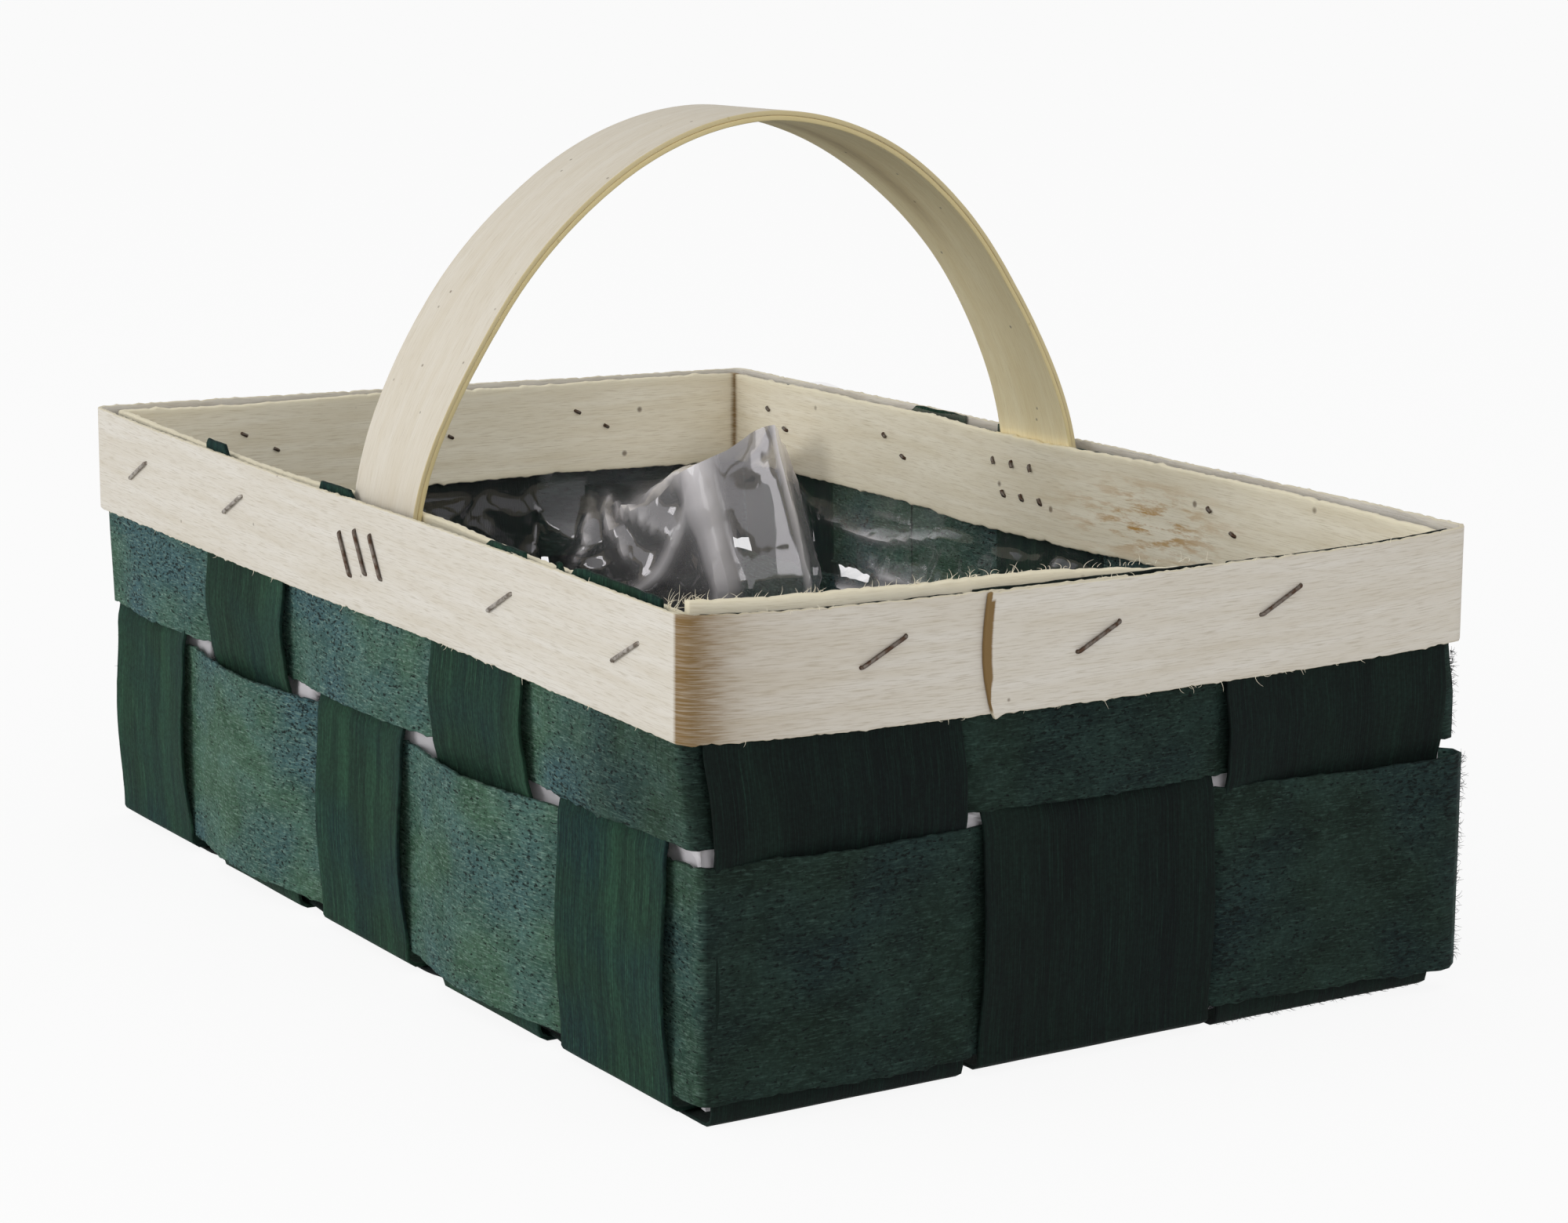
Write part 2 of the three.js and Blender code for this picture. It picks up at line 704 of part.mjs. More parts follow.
function geometryOf(body) {
  const mesh = body.getMesh();
  const geometry = new THREE.BufferGeometry();
  geometry.setAttribute('position', new THREE.BufferAttribute(new Float32Array(mesh.vertProperties), 3));
  geometry.setIndex(new THREE.BufferAttribute(new Uint32Array(mesh.triVerts), 1));
  geometry.computeVertexNormals();
  return geometry;
}

const staples = staplePlan();
const holes = staples.flatMap(stapleHoles).reduce((all, hole) => all.add(hole));

function pierced(geometry) {
  return geometryOf(solid(geometry).subtract(holes));
}

function weaver(lower) {
  const offsetAt = (side, along) => weaverOffset(side, lower, along);
  const stationsOn = (side) => weaverStations(side, lower);
  const [bottom, top] = lower ? [weaverLift, lowerWeaverTop] : [upperWeaverBottom, upperWeaverTop];
  return closedRing(offsetAt, stationsOn, wallCornerRadius, weaverThickness, bottom, top);
}

const basket = new THREE.Group();

function addPiece(name, geometry, finish) {
  const piece = new THREE.Mesh(geometry, new THREE.MeshStandardMaterial(finishes[finish]));
  piece.name = name;
  basket.add(piece);
}

crossPlaces.forEach((_, index) => addPiece(`cross_stake_${index + 1}`, pierced(crossStake(index)), 'stake'));
longPlaces.forEach((_, index) => addPiece(`long_stake_${index + 1}`, pierced(longStake(index)), 'stake'));
addPiece('lower_weaver', weaver(true), 'weaver');
addPiece('upper_weaver', pierced(weaver(false)), 'weaver');
addPiece('liner', pierced(liner()), 'film');
addPiece('handle_outer_ply', pierced(handlePly(true)), 'handle');
addPiece('handle_inner_ply', pierced(handlePly(false)), 'handle');
addPiece('outer_band', pierced(outerBand()), 'band');
addPiece('inner_band', pierced(innerBand()), 'band');
staples.forEach((staple) => addPiece(staple.name, stapleGeometry(staple), 'wire'));

export default basket;
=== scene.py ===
"""Looks of a handled chip-wood basket: bent and woven veneer, rim bands, arched handle, film liner.

Lengths are in metres. +X runs along the long sides, +Y to the back long side, +Z up.
"""

import bisect
import logging
import math
import random
from collections.abc import Callable, Iterable
from dataclasses import dataclass, field
from enum import Enum

import bmesh
import bpy
from mathutils import Matrix, Vector, noise

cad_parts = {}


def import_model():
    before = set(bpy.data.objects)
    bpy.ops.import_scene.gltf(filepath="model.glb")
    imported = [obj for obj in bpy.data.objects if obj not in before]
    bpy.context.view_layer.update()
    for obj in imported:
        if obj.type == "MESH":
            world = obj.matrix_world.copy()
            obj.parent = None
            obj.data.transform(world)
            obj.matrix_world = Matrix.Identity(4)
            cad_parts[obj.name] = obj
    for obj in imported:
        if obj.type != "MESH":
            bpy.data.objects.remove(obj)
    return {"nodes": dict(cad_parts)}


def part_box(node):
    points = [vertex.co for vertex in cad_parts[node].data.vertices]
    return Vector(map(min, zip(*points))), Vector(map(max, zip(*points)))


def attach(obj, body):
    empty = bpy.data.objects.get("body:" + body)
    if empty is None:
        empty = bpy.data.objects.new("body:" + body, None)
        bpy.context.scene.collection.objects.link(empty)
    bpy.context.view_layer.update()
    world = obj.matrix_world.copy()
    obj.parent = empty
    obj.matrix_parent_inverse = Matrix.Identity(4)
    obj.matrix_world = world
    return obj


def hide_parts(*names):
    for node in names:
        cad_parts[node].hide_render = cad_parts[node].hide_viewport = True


MM = 0.001
CLOSE = 0.01 * MM
SEEDS = {"cross_stake": 1.0, "long_stake": 11.0, "lower_weaver": 21.0, "upper_weaver": 31.0,
         "outer_band": 41.0, "inner_band": 51.0, "handle_outer_ply": 61.0, "handle_inner_ply": 62.0,
         "handle_glue_line": 63.0}
UP = Vector((0, 0, 1))
log = logging.getLogger("basket")

Pair = tuple[float, float]
Triple = tuple[float, float, float]
Tree = bpy.types.NodeTree
Socket = bpy.types.NodeSocket
Materials = dict[str, bpy.types.Material]


class Side(Enum):
    """The basket's four sides, counter-clockwise seen from above."""

    FRONT = 0
    RIGHT = 1
    BACK = 2
    LEFT = 3

    def next(self, steps: int = 1) -> "Side":
        """Gives the side that many corners further round."""
        return Side((self.value + steps) % 4)

    def to_plan(self, along: float, out: float, z: float = 0.0) -> Vector:
        """Turns a place on this side to a point.

        Args:
            along: distance along the side from its middle, in its running direction.
            out: distance out from the basket's middle.
            z: height.

        Returns:
            The point in the basket's frame.
        """
        x, y = [(along, -out), (out, along), (-along, out), (-out, -along)][self.value]
        return Vector((x, y, z))

    def outward(self) -> Vector:
        """Gives the direction that this side faces."""
        return self.to_plan(0.0, 1.0)

    def running(self) -> Vector:
        """Gives the direction in which places along this side are counted."""
        return self.to_plan(1.0, 0.0)

    @property
    def is_long(self) -> bool:
        """Whether this is one of the two long sides."""
        return self.value % 2 == 0


def ease(share: float) -> float:
    """Soft step from 0 to 1."""
    s = min(max(share, 0.0), 1.0)
    return s * s * (3 - 2 * s)


def blend(a: float, b: float, share: float) -> float:
    """Goes from a to b as share goes from 0 to 1."""
    return a + (b - a) * share


def linear(hex_colour: str) -> tuple[float, float, float, float]:
    """Turns an sRGB hex value to a linear colour with full alpha."""
    parts = [int(hex_colour[i:i + 2], 16) / 255 for i in (1, 3, 5)]
    r, g, b = [p / 12.92 if p <= 0.04045 else ((p + 0.055) / 1.055) ** 2.4 for p in parts]
    return (r, g, b, 1.0)


def add_node(tree: Tree, kind: str, settings: dict | None = None,
             links: dict | None = None) -> bpy.types.Node:
    """Adds a node with its settings and links.

    Args:
        tree: the node tree to add to.
        kind: the node's type name.
        settings: input values by socket name or number, node properties, or a ramp's stops.
        links: nodes, whose first output is meant, or output sockets, by the name or number of the
            input that they feed.

    Returns:
        The new node.
    """
    node = tree.nodes.new(kind)
    for key, value in (settings or {}).items():
        if key == "stops":
            ramp = node.color_ramp.elements
            while len(ramp) < len(value):
                ramp.new(0.5)
            for stop, (place, colour) in zip(ramp, value):
                stop.position = place
                stop.color = linear(colour) if isinstance(colour, str) else (colour,) * 3 + (1.0,)
        elif isinstance(key, int) or key in node.inputs:
            node.inputs[key].default_value = value
        else:
            setattr(node, key, value)
    for key, source in (links or {}).items():
        socket = source.outputs[0] if isinstance(source, bpy.types.Node) else source
        tree.links.new(socket, node.inputs[key])
    return node


def new_material(name: str) -> tuple[bpy.types.Material, Tree]:
    """Makes an empty material.

    Args:
        name: the material's name.

    Returns:
        The material and its node tree.
    """
    material = bpy.data.materials.new(name)
    material.use_nodes = True
    material.node_tree.nodes.clear()
    return material, material.node_tree


def painted(tree: Tree, *names: str) -> list[Socket]:
    """Reads attributes that were painted on a piece, each as one number."""
    return [add_node(tree, "ShaderNodeAttribute", {"attribute_name": name}).outputs["Fac"] for name in names]


def own_place(tree: Tree) -> Socket:
    """Reads where a point lies in its own strip: along the grain, across it and through it."""
    return add_node(tree, "ShaderNodeAttribute", {"attribute_name": "grain"}).outputs["Vector"]


def drawn_noise(tree: Tree, size: Pair,
                **settings: float) -> Socket:
    """Makes noise that is drawn out along a strip's grain.

    Args:
        tree: the node tree to add to.
        size: its length along the grain and its width across it.
        settings: more values of the noise, by name.

    Returns:
        The noise, from 0 to 1.
    """
    length, width = size
    stretched = add_node(tree, "ShaderNodeMapping", {"Scale": (1 / length, 1 / width, 1 / length)},
                         {"Vector": own_place(tree)})
    return add_node(tree, "ShaderNodeTexNoise", {"Scale": 1.0} | settings,
                    {"Vector": stretched}).outputs["Fac"]


def ranges(source: Pair, low: float, high: float) -> dict[str, float]:
    """Gives the settings that take a pair of values to a low and a high one."""
    return {"From Min": source[0], "From Max": source[1], "To Min": low, "To Max": high}


def mm(*values: float) -> tuple[float, ...]:
    """Turns millimetres into metres."""
    return tuple(value * MM for value in values)


def finished(mesh: bmesh.types.BMesh, name: str) -> bpy.types.Mesh:
    """Turns a mesh that was being edited into a finished one with this name."""
    made = bpy.data.meshes.new(name)
    mesh.to_mesh(made)
    mesh.free()
    return made


def put_in_scene(name: str, data: bpy.types.ID) -> bpy.types.Object:
    """Makes an object of a mesh, curve, lamp or camera and puts it in the scene."""
    made = bpy.data.objects.new(name, data)
    bpy.context.scene.collection.objects.link(made)
    return made


def direction_to(azimuth: float, elevation: float) -> Vector:
    """Gives the direction at an angle from the front long side towards the right, and up."""
    level = math.cos(elevation)
    return Vector((math.sin(azimuth) * level, -math.cos(azimuth) * level, math.sin(elevation)))


@dataclass(frozen=True)
class PlainVeneer:
    """Peeled poplar, undyed: matt and cream, with short darker pores that run along the grain.

    The pores are about 6 mm long and 0.35 mm wide. Stains and painted shade follow one painted number.
    """

    name: str
    pale: str = "#E6E1D7"
    grain: str = "#A99C84"
    cloud: str = "#CDC2AC"
    cut_edge: str = "#E3DABF"
    stain_and_shade_tone: str = "#80663F"
    rust: str = "#BC8A2C"
    fleck: str = "#6E5F52"
    pore_size: Pair = (6.5 * MM, 0.34 * MM)
    cloud_size: Pair = (50 * MM, 4 * MM)
    rust_size: Pair = (16 * MM, 3.4 * MM)
    fleck_spacing: float = 15 * MM
    fleck_reach: float = 0.02
    fleck_fade_share: float = 2.2
    fleck_strength: float = 0.75
    pore_range: Pair = (0.5, 0.74)
    pore_strength: float = 0.55
    cloud_range: Pair = (0.35, 0.75)
    cloud_strength: float = 0.55
    rust_range: Pair = (0.49, 0.6)
    stain_and_shade_by_pore: float = 1.2
    stain_and_shade_base: float = 0.4
    rim_strength: float = 0.8
    roughness: float = 0.72
    gloss: float = 0.25
    bump: float = 0.25
    bump_depth: float = 0.12 * MM

    def make(self) -> bpy.types.Material:
        """Builds the material and gives it back."""
        material, tree = new_material(self.name)
        stain, rim, rust = painted(tree, "stain", "rim", "rust")
        pores = drawn_noise(tree, self.pore_size, Detail=3.0, Roughness=0.6)
        clouds = drawn_noise(tree, self.cloud_size, Detail=4.0, Roughness=0.6)
        rust_spots = drawn_noise(tree, self.rust_size, Detail=4.0, Roughness=0.7)
        spread = add_node(tree, "ShaderNodeMapping", {"Scale": (1 / self.fleck_spacing,) * 3},
                          {"Vector": own_place(tree)})
        cells = add_node(tree, "ShaderNodeTexVoronoi", {"Scale": 1.0, "Randomness": 1.0},
                         {"Vector": spread})

        pore_depth = add_node(tree, "ShaderNodeMapRange", ranges(self.pore_range, 0.0, self.pore_strength),
                              {"Value": pores})
        cloud_depth = add_node(tree, "ShaderNodeMapRange",
                               ranges(self.cloud_range, 0.0, self.cloud_strength), {"Value": clouds})
        fleck_range = (self.fleck_reach, self.fleck_reach * self.fleck_fade_share)
        fleck_depth = add_node(tree, "ShaderNodeMapRange", ranges(fleck_range, self.fleck_strength, 0.0),
                               {"Value": cells.outputs["Distance"]})
        rim_depth = add_node(tree, "ShaderNodeMath",
                             {"operation": "MULTIPLY", 1: self.rim_strength}, {0: rim})
        # Real stains and painted shade in corners and on the shaded right side both darken towards the
        # stained colour, broken up by the pores.
        stain_and_shade_scale = {"operation": "MULTIPLY_ADD", 1: self.stain_and_shade_by_pore, 2: self.stain_and_shade_base}
        broken = add_node(tree, "ShaderNodeMath", stain_and_shade_scale, {0: pores})
        stain_and_shade_depth = add_node(tree, "ShaderNodeMath", {"operation": "MULTIPLY", "use_clamp": True},
                               {0: stain, 1: broken})
        rust_share = add_node(tree, "ShaderNodeMapRange", ranges(self.rust_range, 0.0, 1.0),
                              {"Value": rust_spots})
        rust_depth = add_node(tree, "ShaderNodeMath", {"operation": "MULTIPLY", "use_clamp": True},
                              {0: rust, 1: rust_share})

        colour = add_node(tree, "ShaderNodeMix",
                          {"data_type": "RGBA", 6: linear(self.pale), 7: linear(self.grain)},
                          {0: pore_depth})
        for shade, depth in ((self.cloud, cloud_depth), (self.fleck, fleck_depth), (self.cut_edge, rim_depth),
                             (self.stain_and_shade_tone, stain_and_shade_depth), (self.rust, rust_depth)):
            colour = add_node(tree, "ShaderNodeMix", {"data_type": "RGBA", 7: linear(shade)},
                              {0: depth, 6: colour.outputs[2]})
        bump = add_node(tree, "ShaderNodeBump",
                        {"invert": True, "Strength": self.bump, "Distance": self.bump_depth},
                        {"Height": pores})
        shader = add_node(tree, "ShaderNodeBsdfPrincipled",
                          {"Roughness": self.roughness, "Specular IOR Level": self.gloss},
                          {"Base Color": colour.outputs[2], "Normal": bump})
        add_node(tree, "ShaderNodeOutputMaterial", {}, {"Surface": shader})
        return material


@dataclass(frozen=True)
class DyedVeneer:
    """Poplar veneer soaked through when dyed: matt, with the grain drawn by how much colour each fibre took.

    Weavers are mottled and pitted like felt, and stakes have long soft bands. A painted number mixes
    each point from 0, washed out, to 1, nearly black: a little of it is the strip's own uneven
    dyeing, and most of it is painted shade on the sides that stand in shade.
    """

    name: str
    low: str
    mid: str
    high: str
    tint: str
    # The deep colours are what the painted shade mixes to; pits and cut edges take them too.
    deep_low: str
    deep_high: str
    fibre: str
    deep_fibre: str
    fibre_size: Pair
    cloud_size: Pair
    pit_size: Pair
    pit_depth: float
    fibre_share: float
    fibre_range: Pair = (0.5, 0.76)
    cloud_stops: Triple = (0.34, 0.5, 0.66)
    deep_stops: Pair = (0.38, 0.62)
    tint_size: float = 42 * MM
    tint_range: Pair = (0.44, 0.64)
    tint_share: float = 0.75
    pit_range: Pair = (0.31, 0.41)
    pit_crowding: float = 0.35
    nap_size: float = 0.9 * MM
    nap_range: Pair = (0.3, 0.7)
    nap_shade: Pair = (0.74, 1.22)
    rim_strength: float = 0.5
    roughness: float = 0.8
    gloss: float = 0.12
    bump: float = 0.5
    bump_depth: float = 0.25 * MM

    def make(self) -> bpy.types.Material:
        """Builds the material and gives it back."""
        material, tree = new_material(self.name)
        # The first painted number mixes the strip towards its deep colours: painted shade where the strip
        # stands in shade, and a little real unevenness of the dyeing.
        dye, rim = painted(tree, "dye", "rim")
        clouds = drawn_noise(tree, self.cloud_size, Detail=4.0, Roughness=0.62)
        fibres = drawn_noise(tree, self.fibre_size, Detail=4.0, Roughness=0.7, Distortion=0.6)
        pits = drawn_noise(tree, self.pit_size, Detail=2.0, Roughness=0.5)
        tints, nap = (add_node(tree, "ShaderNodeTexNoise", {"Scale": 1 / size, "Detail": detail},
                               {"Vector": own_place(tree)}).outputs["Fac"]
                      for size, detail in ((self.tint_size, 2.0), (self.nap_size, 1.0)))

        light = add_node(tree, "ShaderNodeValToRGB",
                         {"stops": list(zip(self.cloud_stops, (self.low, self.mid, self.high)))},
                         {"Fac": clouds})
        tinted = add_node(tree, "ShaderNodeMapRange", ranges(self.tint_range, 0.0, self.tint_share),
                          {"Value": tints})
        pale = add_node(tree, "ShaderNodeMix", {"data_type": "RGBA", 7: linear(self.tint)},
                        {0: tinted, 6: light.outputs["Color"]})
        deep = add_node(tree, "ShaderNodeValToRGB",
                        {"stops": list(zip(self.deep_stops, (self.deep_low, self.deep_high)))},
                        {"Fac": clouds})
        fibre_depth = add_node(tree, "ShaderNodeMapRange", ranges(self.fibre_range, 0.0, self.fibre_share),
                               {"Value": fibres})
        pale_fibred, deep_fibred = (
            add_node(tree, "ShaderNodeMix", {"data_type": "RGBA", 7: linear(shade)},
                     {0: fibre_depth, 6: under})
            for shade, under in ((self.fibre, pale.outputs[2]), (self.deep_fibre, deep.outputs["Color"])))
        # Painted shade: the lit colours are mixed to the deep ones by the painted number.
        dyed_and_shaded = add_node(tree, "ShaderNodeMix", {"data_type": "RGBA"},
                        {0: dye, 6: pale_fibred.outputs[2], 7: deep_fibred.outputs[2]})

        crowded = add_node(tree, "ShaderNodeMath",
                           {"operation": "MULTIPLY_ADD", 1: -self.pit_crowding, 2: self.pit_crowding / 2},
                           {0: tints})
        sparse = add_node(tree, "ShaderNodeMath", {"operation": "ADD"}, {0: pits, 1: crowded})
        pit_share = add_node(tree, "ShaderNodeMapRange", ranges(self.pit_range, self.pit_depth, 0.0),
                             {"Value": sparse})
        pitted = add_node(tree, "ShaderNodeMix", {"data_type": "RGBA", 7: linear(self.deep_low)},
                          {0: pit_share, 6: dyed_and_shaded.outputs[2]})
        rim_depth = add_node(tree, "ShaderNodeMath",
                             {"operation": "MULTIPLY", 1: self.rim_strength}, {0: rim})
        edged = add_node(tree, "ShaderNodeMix", {"data_type": "RGBA"},
                         {0: rim_depth, 6: pitted.outputs[2], 7: deep_fibred.outputs[2]})
        shade = add_node(tree, "ShaderNodeMapRange", ranges(self.nap_range, *self.nap_shade), {"Value": nap})
        felted = add_node(tree, "ShaderNodeVectorMath", {"operation": "SCALE"},
                          {0: edged.outputs[2], "Scale": shade})
        height = add_node(tree, "ShaderNodeMath", {"operation": "SUBTRACT"},
                          {0: fibres, 1: pit_share})
        bump = add_node(tree, "ShaderNodeBump", {"Strength": self.bump, "Distance": self.bump_depth},
                        {"Height": height})
        shader = add_node(tree, "ShaderNodeBsdfPrincipled",
                          {"Roughness": self.roughness, "Specular IOR Level": self.gloss},
                          {"Base Color": felted, "Normal": bump})
        add_node(tree, "ShaderNodeOutputMaterial", {}, {"Surface": shader})
        return material


@dataclass(frozen=True)
class ClearFilm:
    """Blown polyethylene film: clear face on, mirror-like at a glancing angle, milky in its folds.

    The haze attribute says how milky the film is, from 0, stretched clear, to 1, folded on itself.
    """

    name: str
    shine: str = "#F2EEF2"
    face_on: float = 0.06
    glancing: float = 0.94
    falloff: float = 3.4
    haze: float = 0.85
    metallic: float = 0.75
    dull_from: float = 0.5
    clear: tuple[float, float, float, float] = (0.96, 0.96, 0.97, 1.0)
    roughness: float = 0.07

    def make(self) -> bpy.types.Material:
        """Builds the material and gives it back."""
        material, tree = new_material(self.name)
        facing = add_node(tree, "ShaderNodeLayerWeight", {"Blend": 0.5})
        steep = add_node(tree, "ShaderNodeMath", {"operation": "POWER", 1: self.falloff},
                         {0: facing.outputs["Facing"]})
        [haze] = painted(tree, "haze")
        bright = add_node(tree, "ShaderNodeMath",
                          {"operation": "MULTIPLY_ADD", 1: self.glancing, 2: self.face_on},
                          {0: steep})
        share = add_node(tree, "ShaderNodeMath",
                         {"operation": "MULTIPLY_ADD", 1: self.haze, "use_clamp": True},
                         {0: haze, 2: bright})
        mirror = add_node(tree, "ShaderNodeMapRange", ranges((0.0, self.dull_from), self.metallic, 0.0),
                          {"Value": haze})
        clear = add_node(tree, "ShaderNodeBsdfTransparent", {"Color": self.clear})
        shader = add_node(tree, "ShaderNodeBsdfPrincipled",
                          {"Base Color": linear(self.shine), "Roughness": self.roughness},
                          {"Metallic": mirror})
        mixed = add_node(tree, "ShaderNodeMixShader", {},
                         {0: share, 1: clear, 2: shader})
        add_node(tree, "ShaderNodeOutputMaterial", {}, {"Surface": mixed})
        return material


@dataclass(frozen=True)
class StapleWire:
    """Drawn steel wire, dulled and spotted with rust."""

    name: str
    steel: str = "#6A625B"
    rust: str = "#4A372B"
    rust_stops: Pair = (0.42, 0.6)
    spot: float = 1.6 * MM
    metallic: float = 0.85
    roughness: Pair = (0.32, 0.6)

    def make(self) -> bpy.types.Material:
        """Builds the material and gives it back."""
        material, tree = new_material(self.name)
        place = add_node(tree, "ShaderNodeTexCoord").outputs["Object"]
        spots = add_node(tree, "ShaderNodeTexNoise", {"Scale": 1 / self.spot, "Detail": 3.0},
                         {"Vector": place})
        colour = add_node(tree, "ShaderNodeValToRGB",
                          {"stops": list(zip(self.rust_stops, (self.steel, self.rust)))},
                          {"Fac": spots.outputs["Fac"]})
        rough = add_node(tree, "ShaderNodeMapRange", ranges((0.0, 1.0), *self.roughness),
                         {"Value": spots.outputs["Fac"]})
        shader = add_node(tree, "ShaderNodeBsdfPrincipled", {"Metallic": self.metallic},
                          {"Base Color": colour.outputs["Color"], "Roughness": rough})
        add_node(tree, "ShaderNodeOutputMaterial", {}, {"Surface": shader})
        return material


@dataclass(frozen=True)
class Glue:
    """Dried wood glue in the line between two plies: yellow-brown and a little glossy."""

    name: str
    pale: str = "#B79E62"
    dark: str = "#94763C"
    streak_stops: Pair = (0.4, 0.65)
    streak: float = 7 * MM
    roughness: float = 0.45

    def make(self) -> bpy.types.Material:
        """Builds the material and gives it back."""
        material, tree = new_material(self.name)
        streaks = add_node(tree, "ShaderNodeTexNoise", {"Scale": 1 / self.streak, "Detail": 4.0},
                           {"Vector": own_place(tree)})
        colour = add_node(tree, "ShaderNodeValToRGB",
                          {"stops": list(zip(self.streak_stops, (self.pale, self.dark)))},
                          {"Fac": streaks.outputs["Fac"]})
        shader = add_node(tree, "ShaderNodeBsdfPrincipled", {"Roughness": self.roughness},
                          {"Base Color": colour.outputs["Color"]})
        add_node(tree, "ShaderNodeOutputMaterial", {}, {"Surface": shader})
        return material


@dataclass(frozen=True)
class Finishes:
    """Every finish of the basket, made once."""

    band: PlainVeneer = PlainVeneer("Poplar veneer")
    # The inner band's colour is painted lighter than the outer band's: painted light for the rim's inside,
    # which stands in shade; its rougher grain and flecks are its own.
    inner: PlainVeneer = PlainVeneer("Rough poplar veneer", pale="#FBF4E0", grain="#B9A782",
                                     cloud="#DDCFAE", cut_edge="#F2E9CD", fleck="#5E4A38",
                                     fleck_spacing=13 * MM, fleck_reach=0.04, pore_strength=0.5, bump=0.4)
    handle: PlainVeneer = PlainVeneer("Sanded poplar veneer", pale="#E2DBCD", grain="#BDB097",
                                      cloud="#D2C6AE", cut_edge="#D8C690", fleck="#7C6E5C",
                                      fleck_spacing=7 * MM, fleck_reach=0.035, pore_strength=0.5,
                                      bump=0.12)
    # The handle's inner ply is yellower wood, and its colour is also painted lighter: painted light for the
    # light that the white floor throws up under the arch.
    under: PlainVeneer = PlainVeneer("Yellowed poplar veneer with painted bounce light", pale="#FCF0CA", grain="#D2BC88",
                                     cloud="#EBD8A6", cut_edge="#D8C690", fleck="#7C6E5C",
                                     fleck_spacing=9 * MM, fleck_reach=0.03, pore_strength=0.5,
                                     stain_and_shade_tone="#9A7B45", bump=0.12)
    # Each dyed finish has lit colours, low, mid and high, and deep colours, which are mostly painted shade
    # for the sides that stand in shade; pits and cut edges take some of them too.
    weaver: DyedVeneer = DyedVeneer(
        "Blue-green dyed veneer", low="#34523F", mid="#44624F", high="#4E6E60", tint="#3D5B66",
        deep_low="#080F0E", deep_high="#16231F", fibre="#92AEA0", deep_fibre="#273D37",
        fibre_size=(3.2 * MM, 0.45 * MM), cloud_size=(20 * MM, 12 * MM), pit_size=(1.5 * MM, 0.7 * MM),
        pit_depth=0.9, fibre_share=0.8, bump=0.6)
    stake: DyedVeneer = DyedVeneer(
        "Green dyed veneer", low="#10251D", mid="#193126", high="#264634", tint="#132E31",
        deep_low="#070C0C", deep_high="#0D1714", fibre="#447054", deep_fibre="#1B302A",
        fibre_size=(22 * MM, 0.3 * MM), cloud_size=(130 * MM, 11 * MM), pit_size=(4 * MM, 0.35 * MM),
        pit_depth=0.5, fibre_share=0.75, bump=0.4)
    film: ClearFilm = ClearFilm("Clear polyethylene film")
    wire: StapleWire = StapleWire("Dulled staple wire")
    bright_wire: StapleWire = StapleWire("Staple wire", steel="#A9A39B", rust="#6C6258")
    glue: Glue = Glue("Wood glue")

    def make(self) -> Materials:
        """Builds every material, by its part's name."""
        names = ("band", "inner", "handle", "under", "weaver", "stake", "film", "wire", "bright_wire", "glue")
        return {name: getattr(self, name).make() for name in names}


@dataclass(frozen=True)
class RimLean:
    """How far the rim stands out of square.

    Its front right corner is pushed to the front, its left end up and out, and its right side sags.
    """

    start: float = 20 * MM
    reach: float = 150 * MM
    power: float = 1.5
    right_shift: Triple = (-1.4 * MM, -2.8 * MM, -1.0 * MM)
    left_rise: float = 3.0 * MM
    left_out: float = 3.5 * MM
    sag: float = 2.4 * MM
    sag_start: float = 120 * MM
    sag_reach: float = 40 * MM
    half_width: float = 112 * MM
    low: float = 55 * MM
    high: float = 92 * MM
    top: float = 120 * MM
    wall_share: float = 0.6
    middle_power: int = 4

    def shift(self, point: Vector) -> Vector:
        """Gives how far a point of the wall is moved."""
        height = ease((point.z - self.low) / (self.high - self.low))
        right = max((point.x - self.start) / self.reach, 0.0) ** self.power
        left = max((-point.x - self.start) / self.reach, 0.0) ** self.power
        near = 0.5 - 0.5 * max(min(point.y / self.half_width, 1.0), -1.0)
        at_rim = ease((point.z - self.high) / (self.top - self.high))
        rise = height * (self.wall_share + (1 - self.wall_share) * at_rim)
        middle = 1 - min(abs(point.y) / self.half_width, 1.0) ** self.middle_power
        dx, dy, dz = self.right_shift
        moved = Vector((dx * near, dy * near, dz)) * right * height
        moved.x -= self.left_out * left * height
        moved.z += self.left_rise * left * near * rise
        moved.z -= self.sag * middle * height * ease((point.x - self.sag_start) / self.sag_reach)
        return moved


LEAN = RimLean()


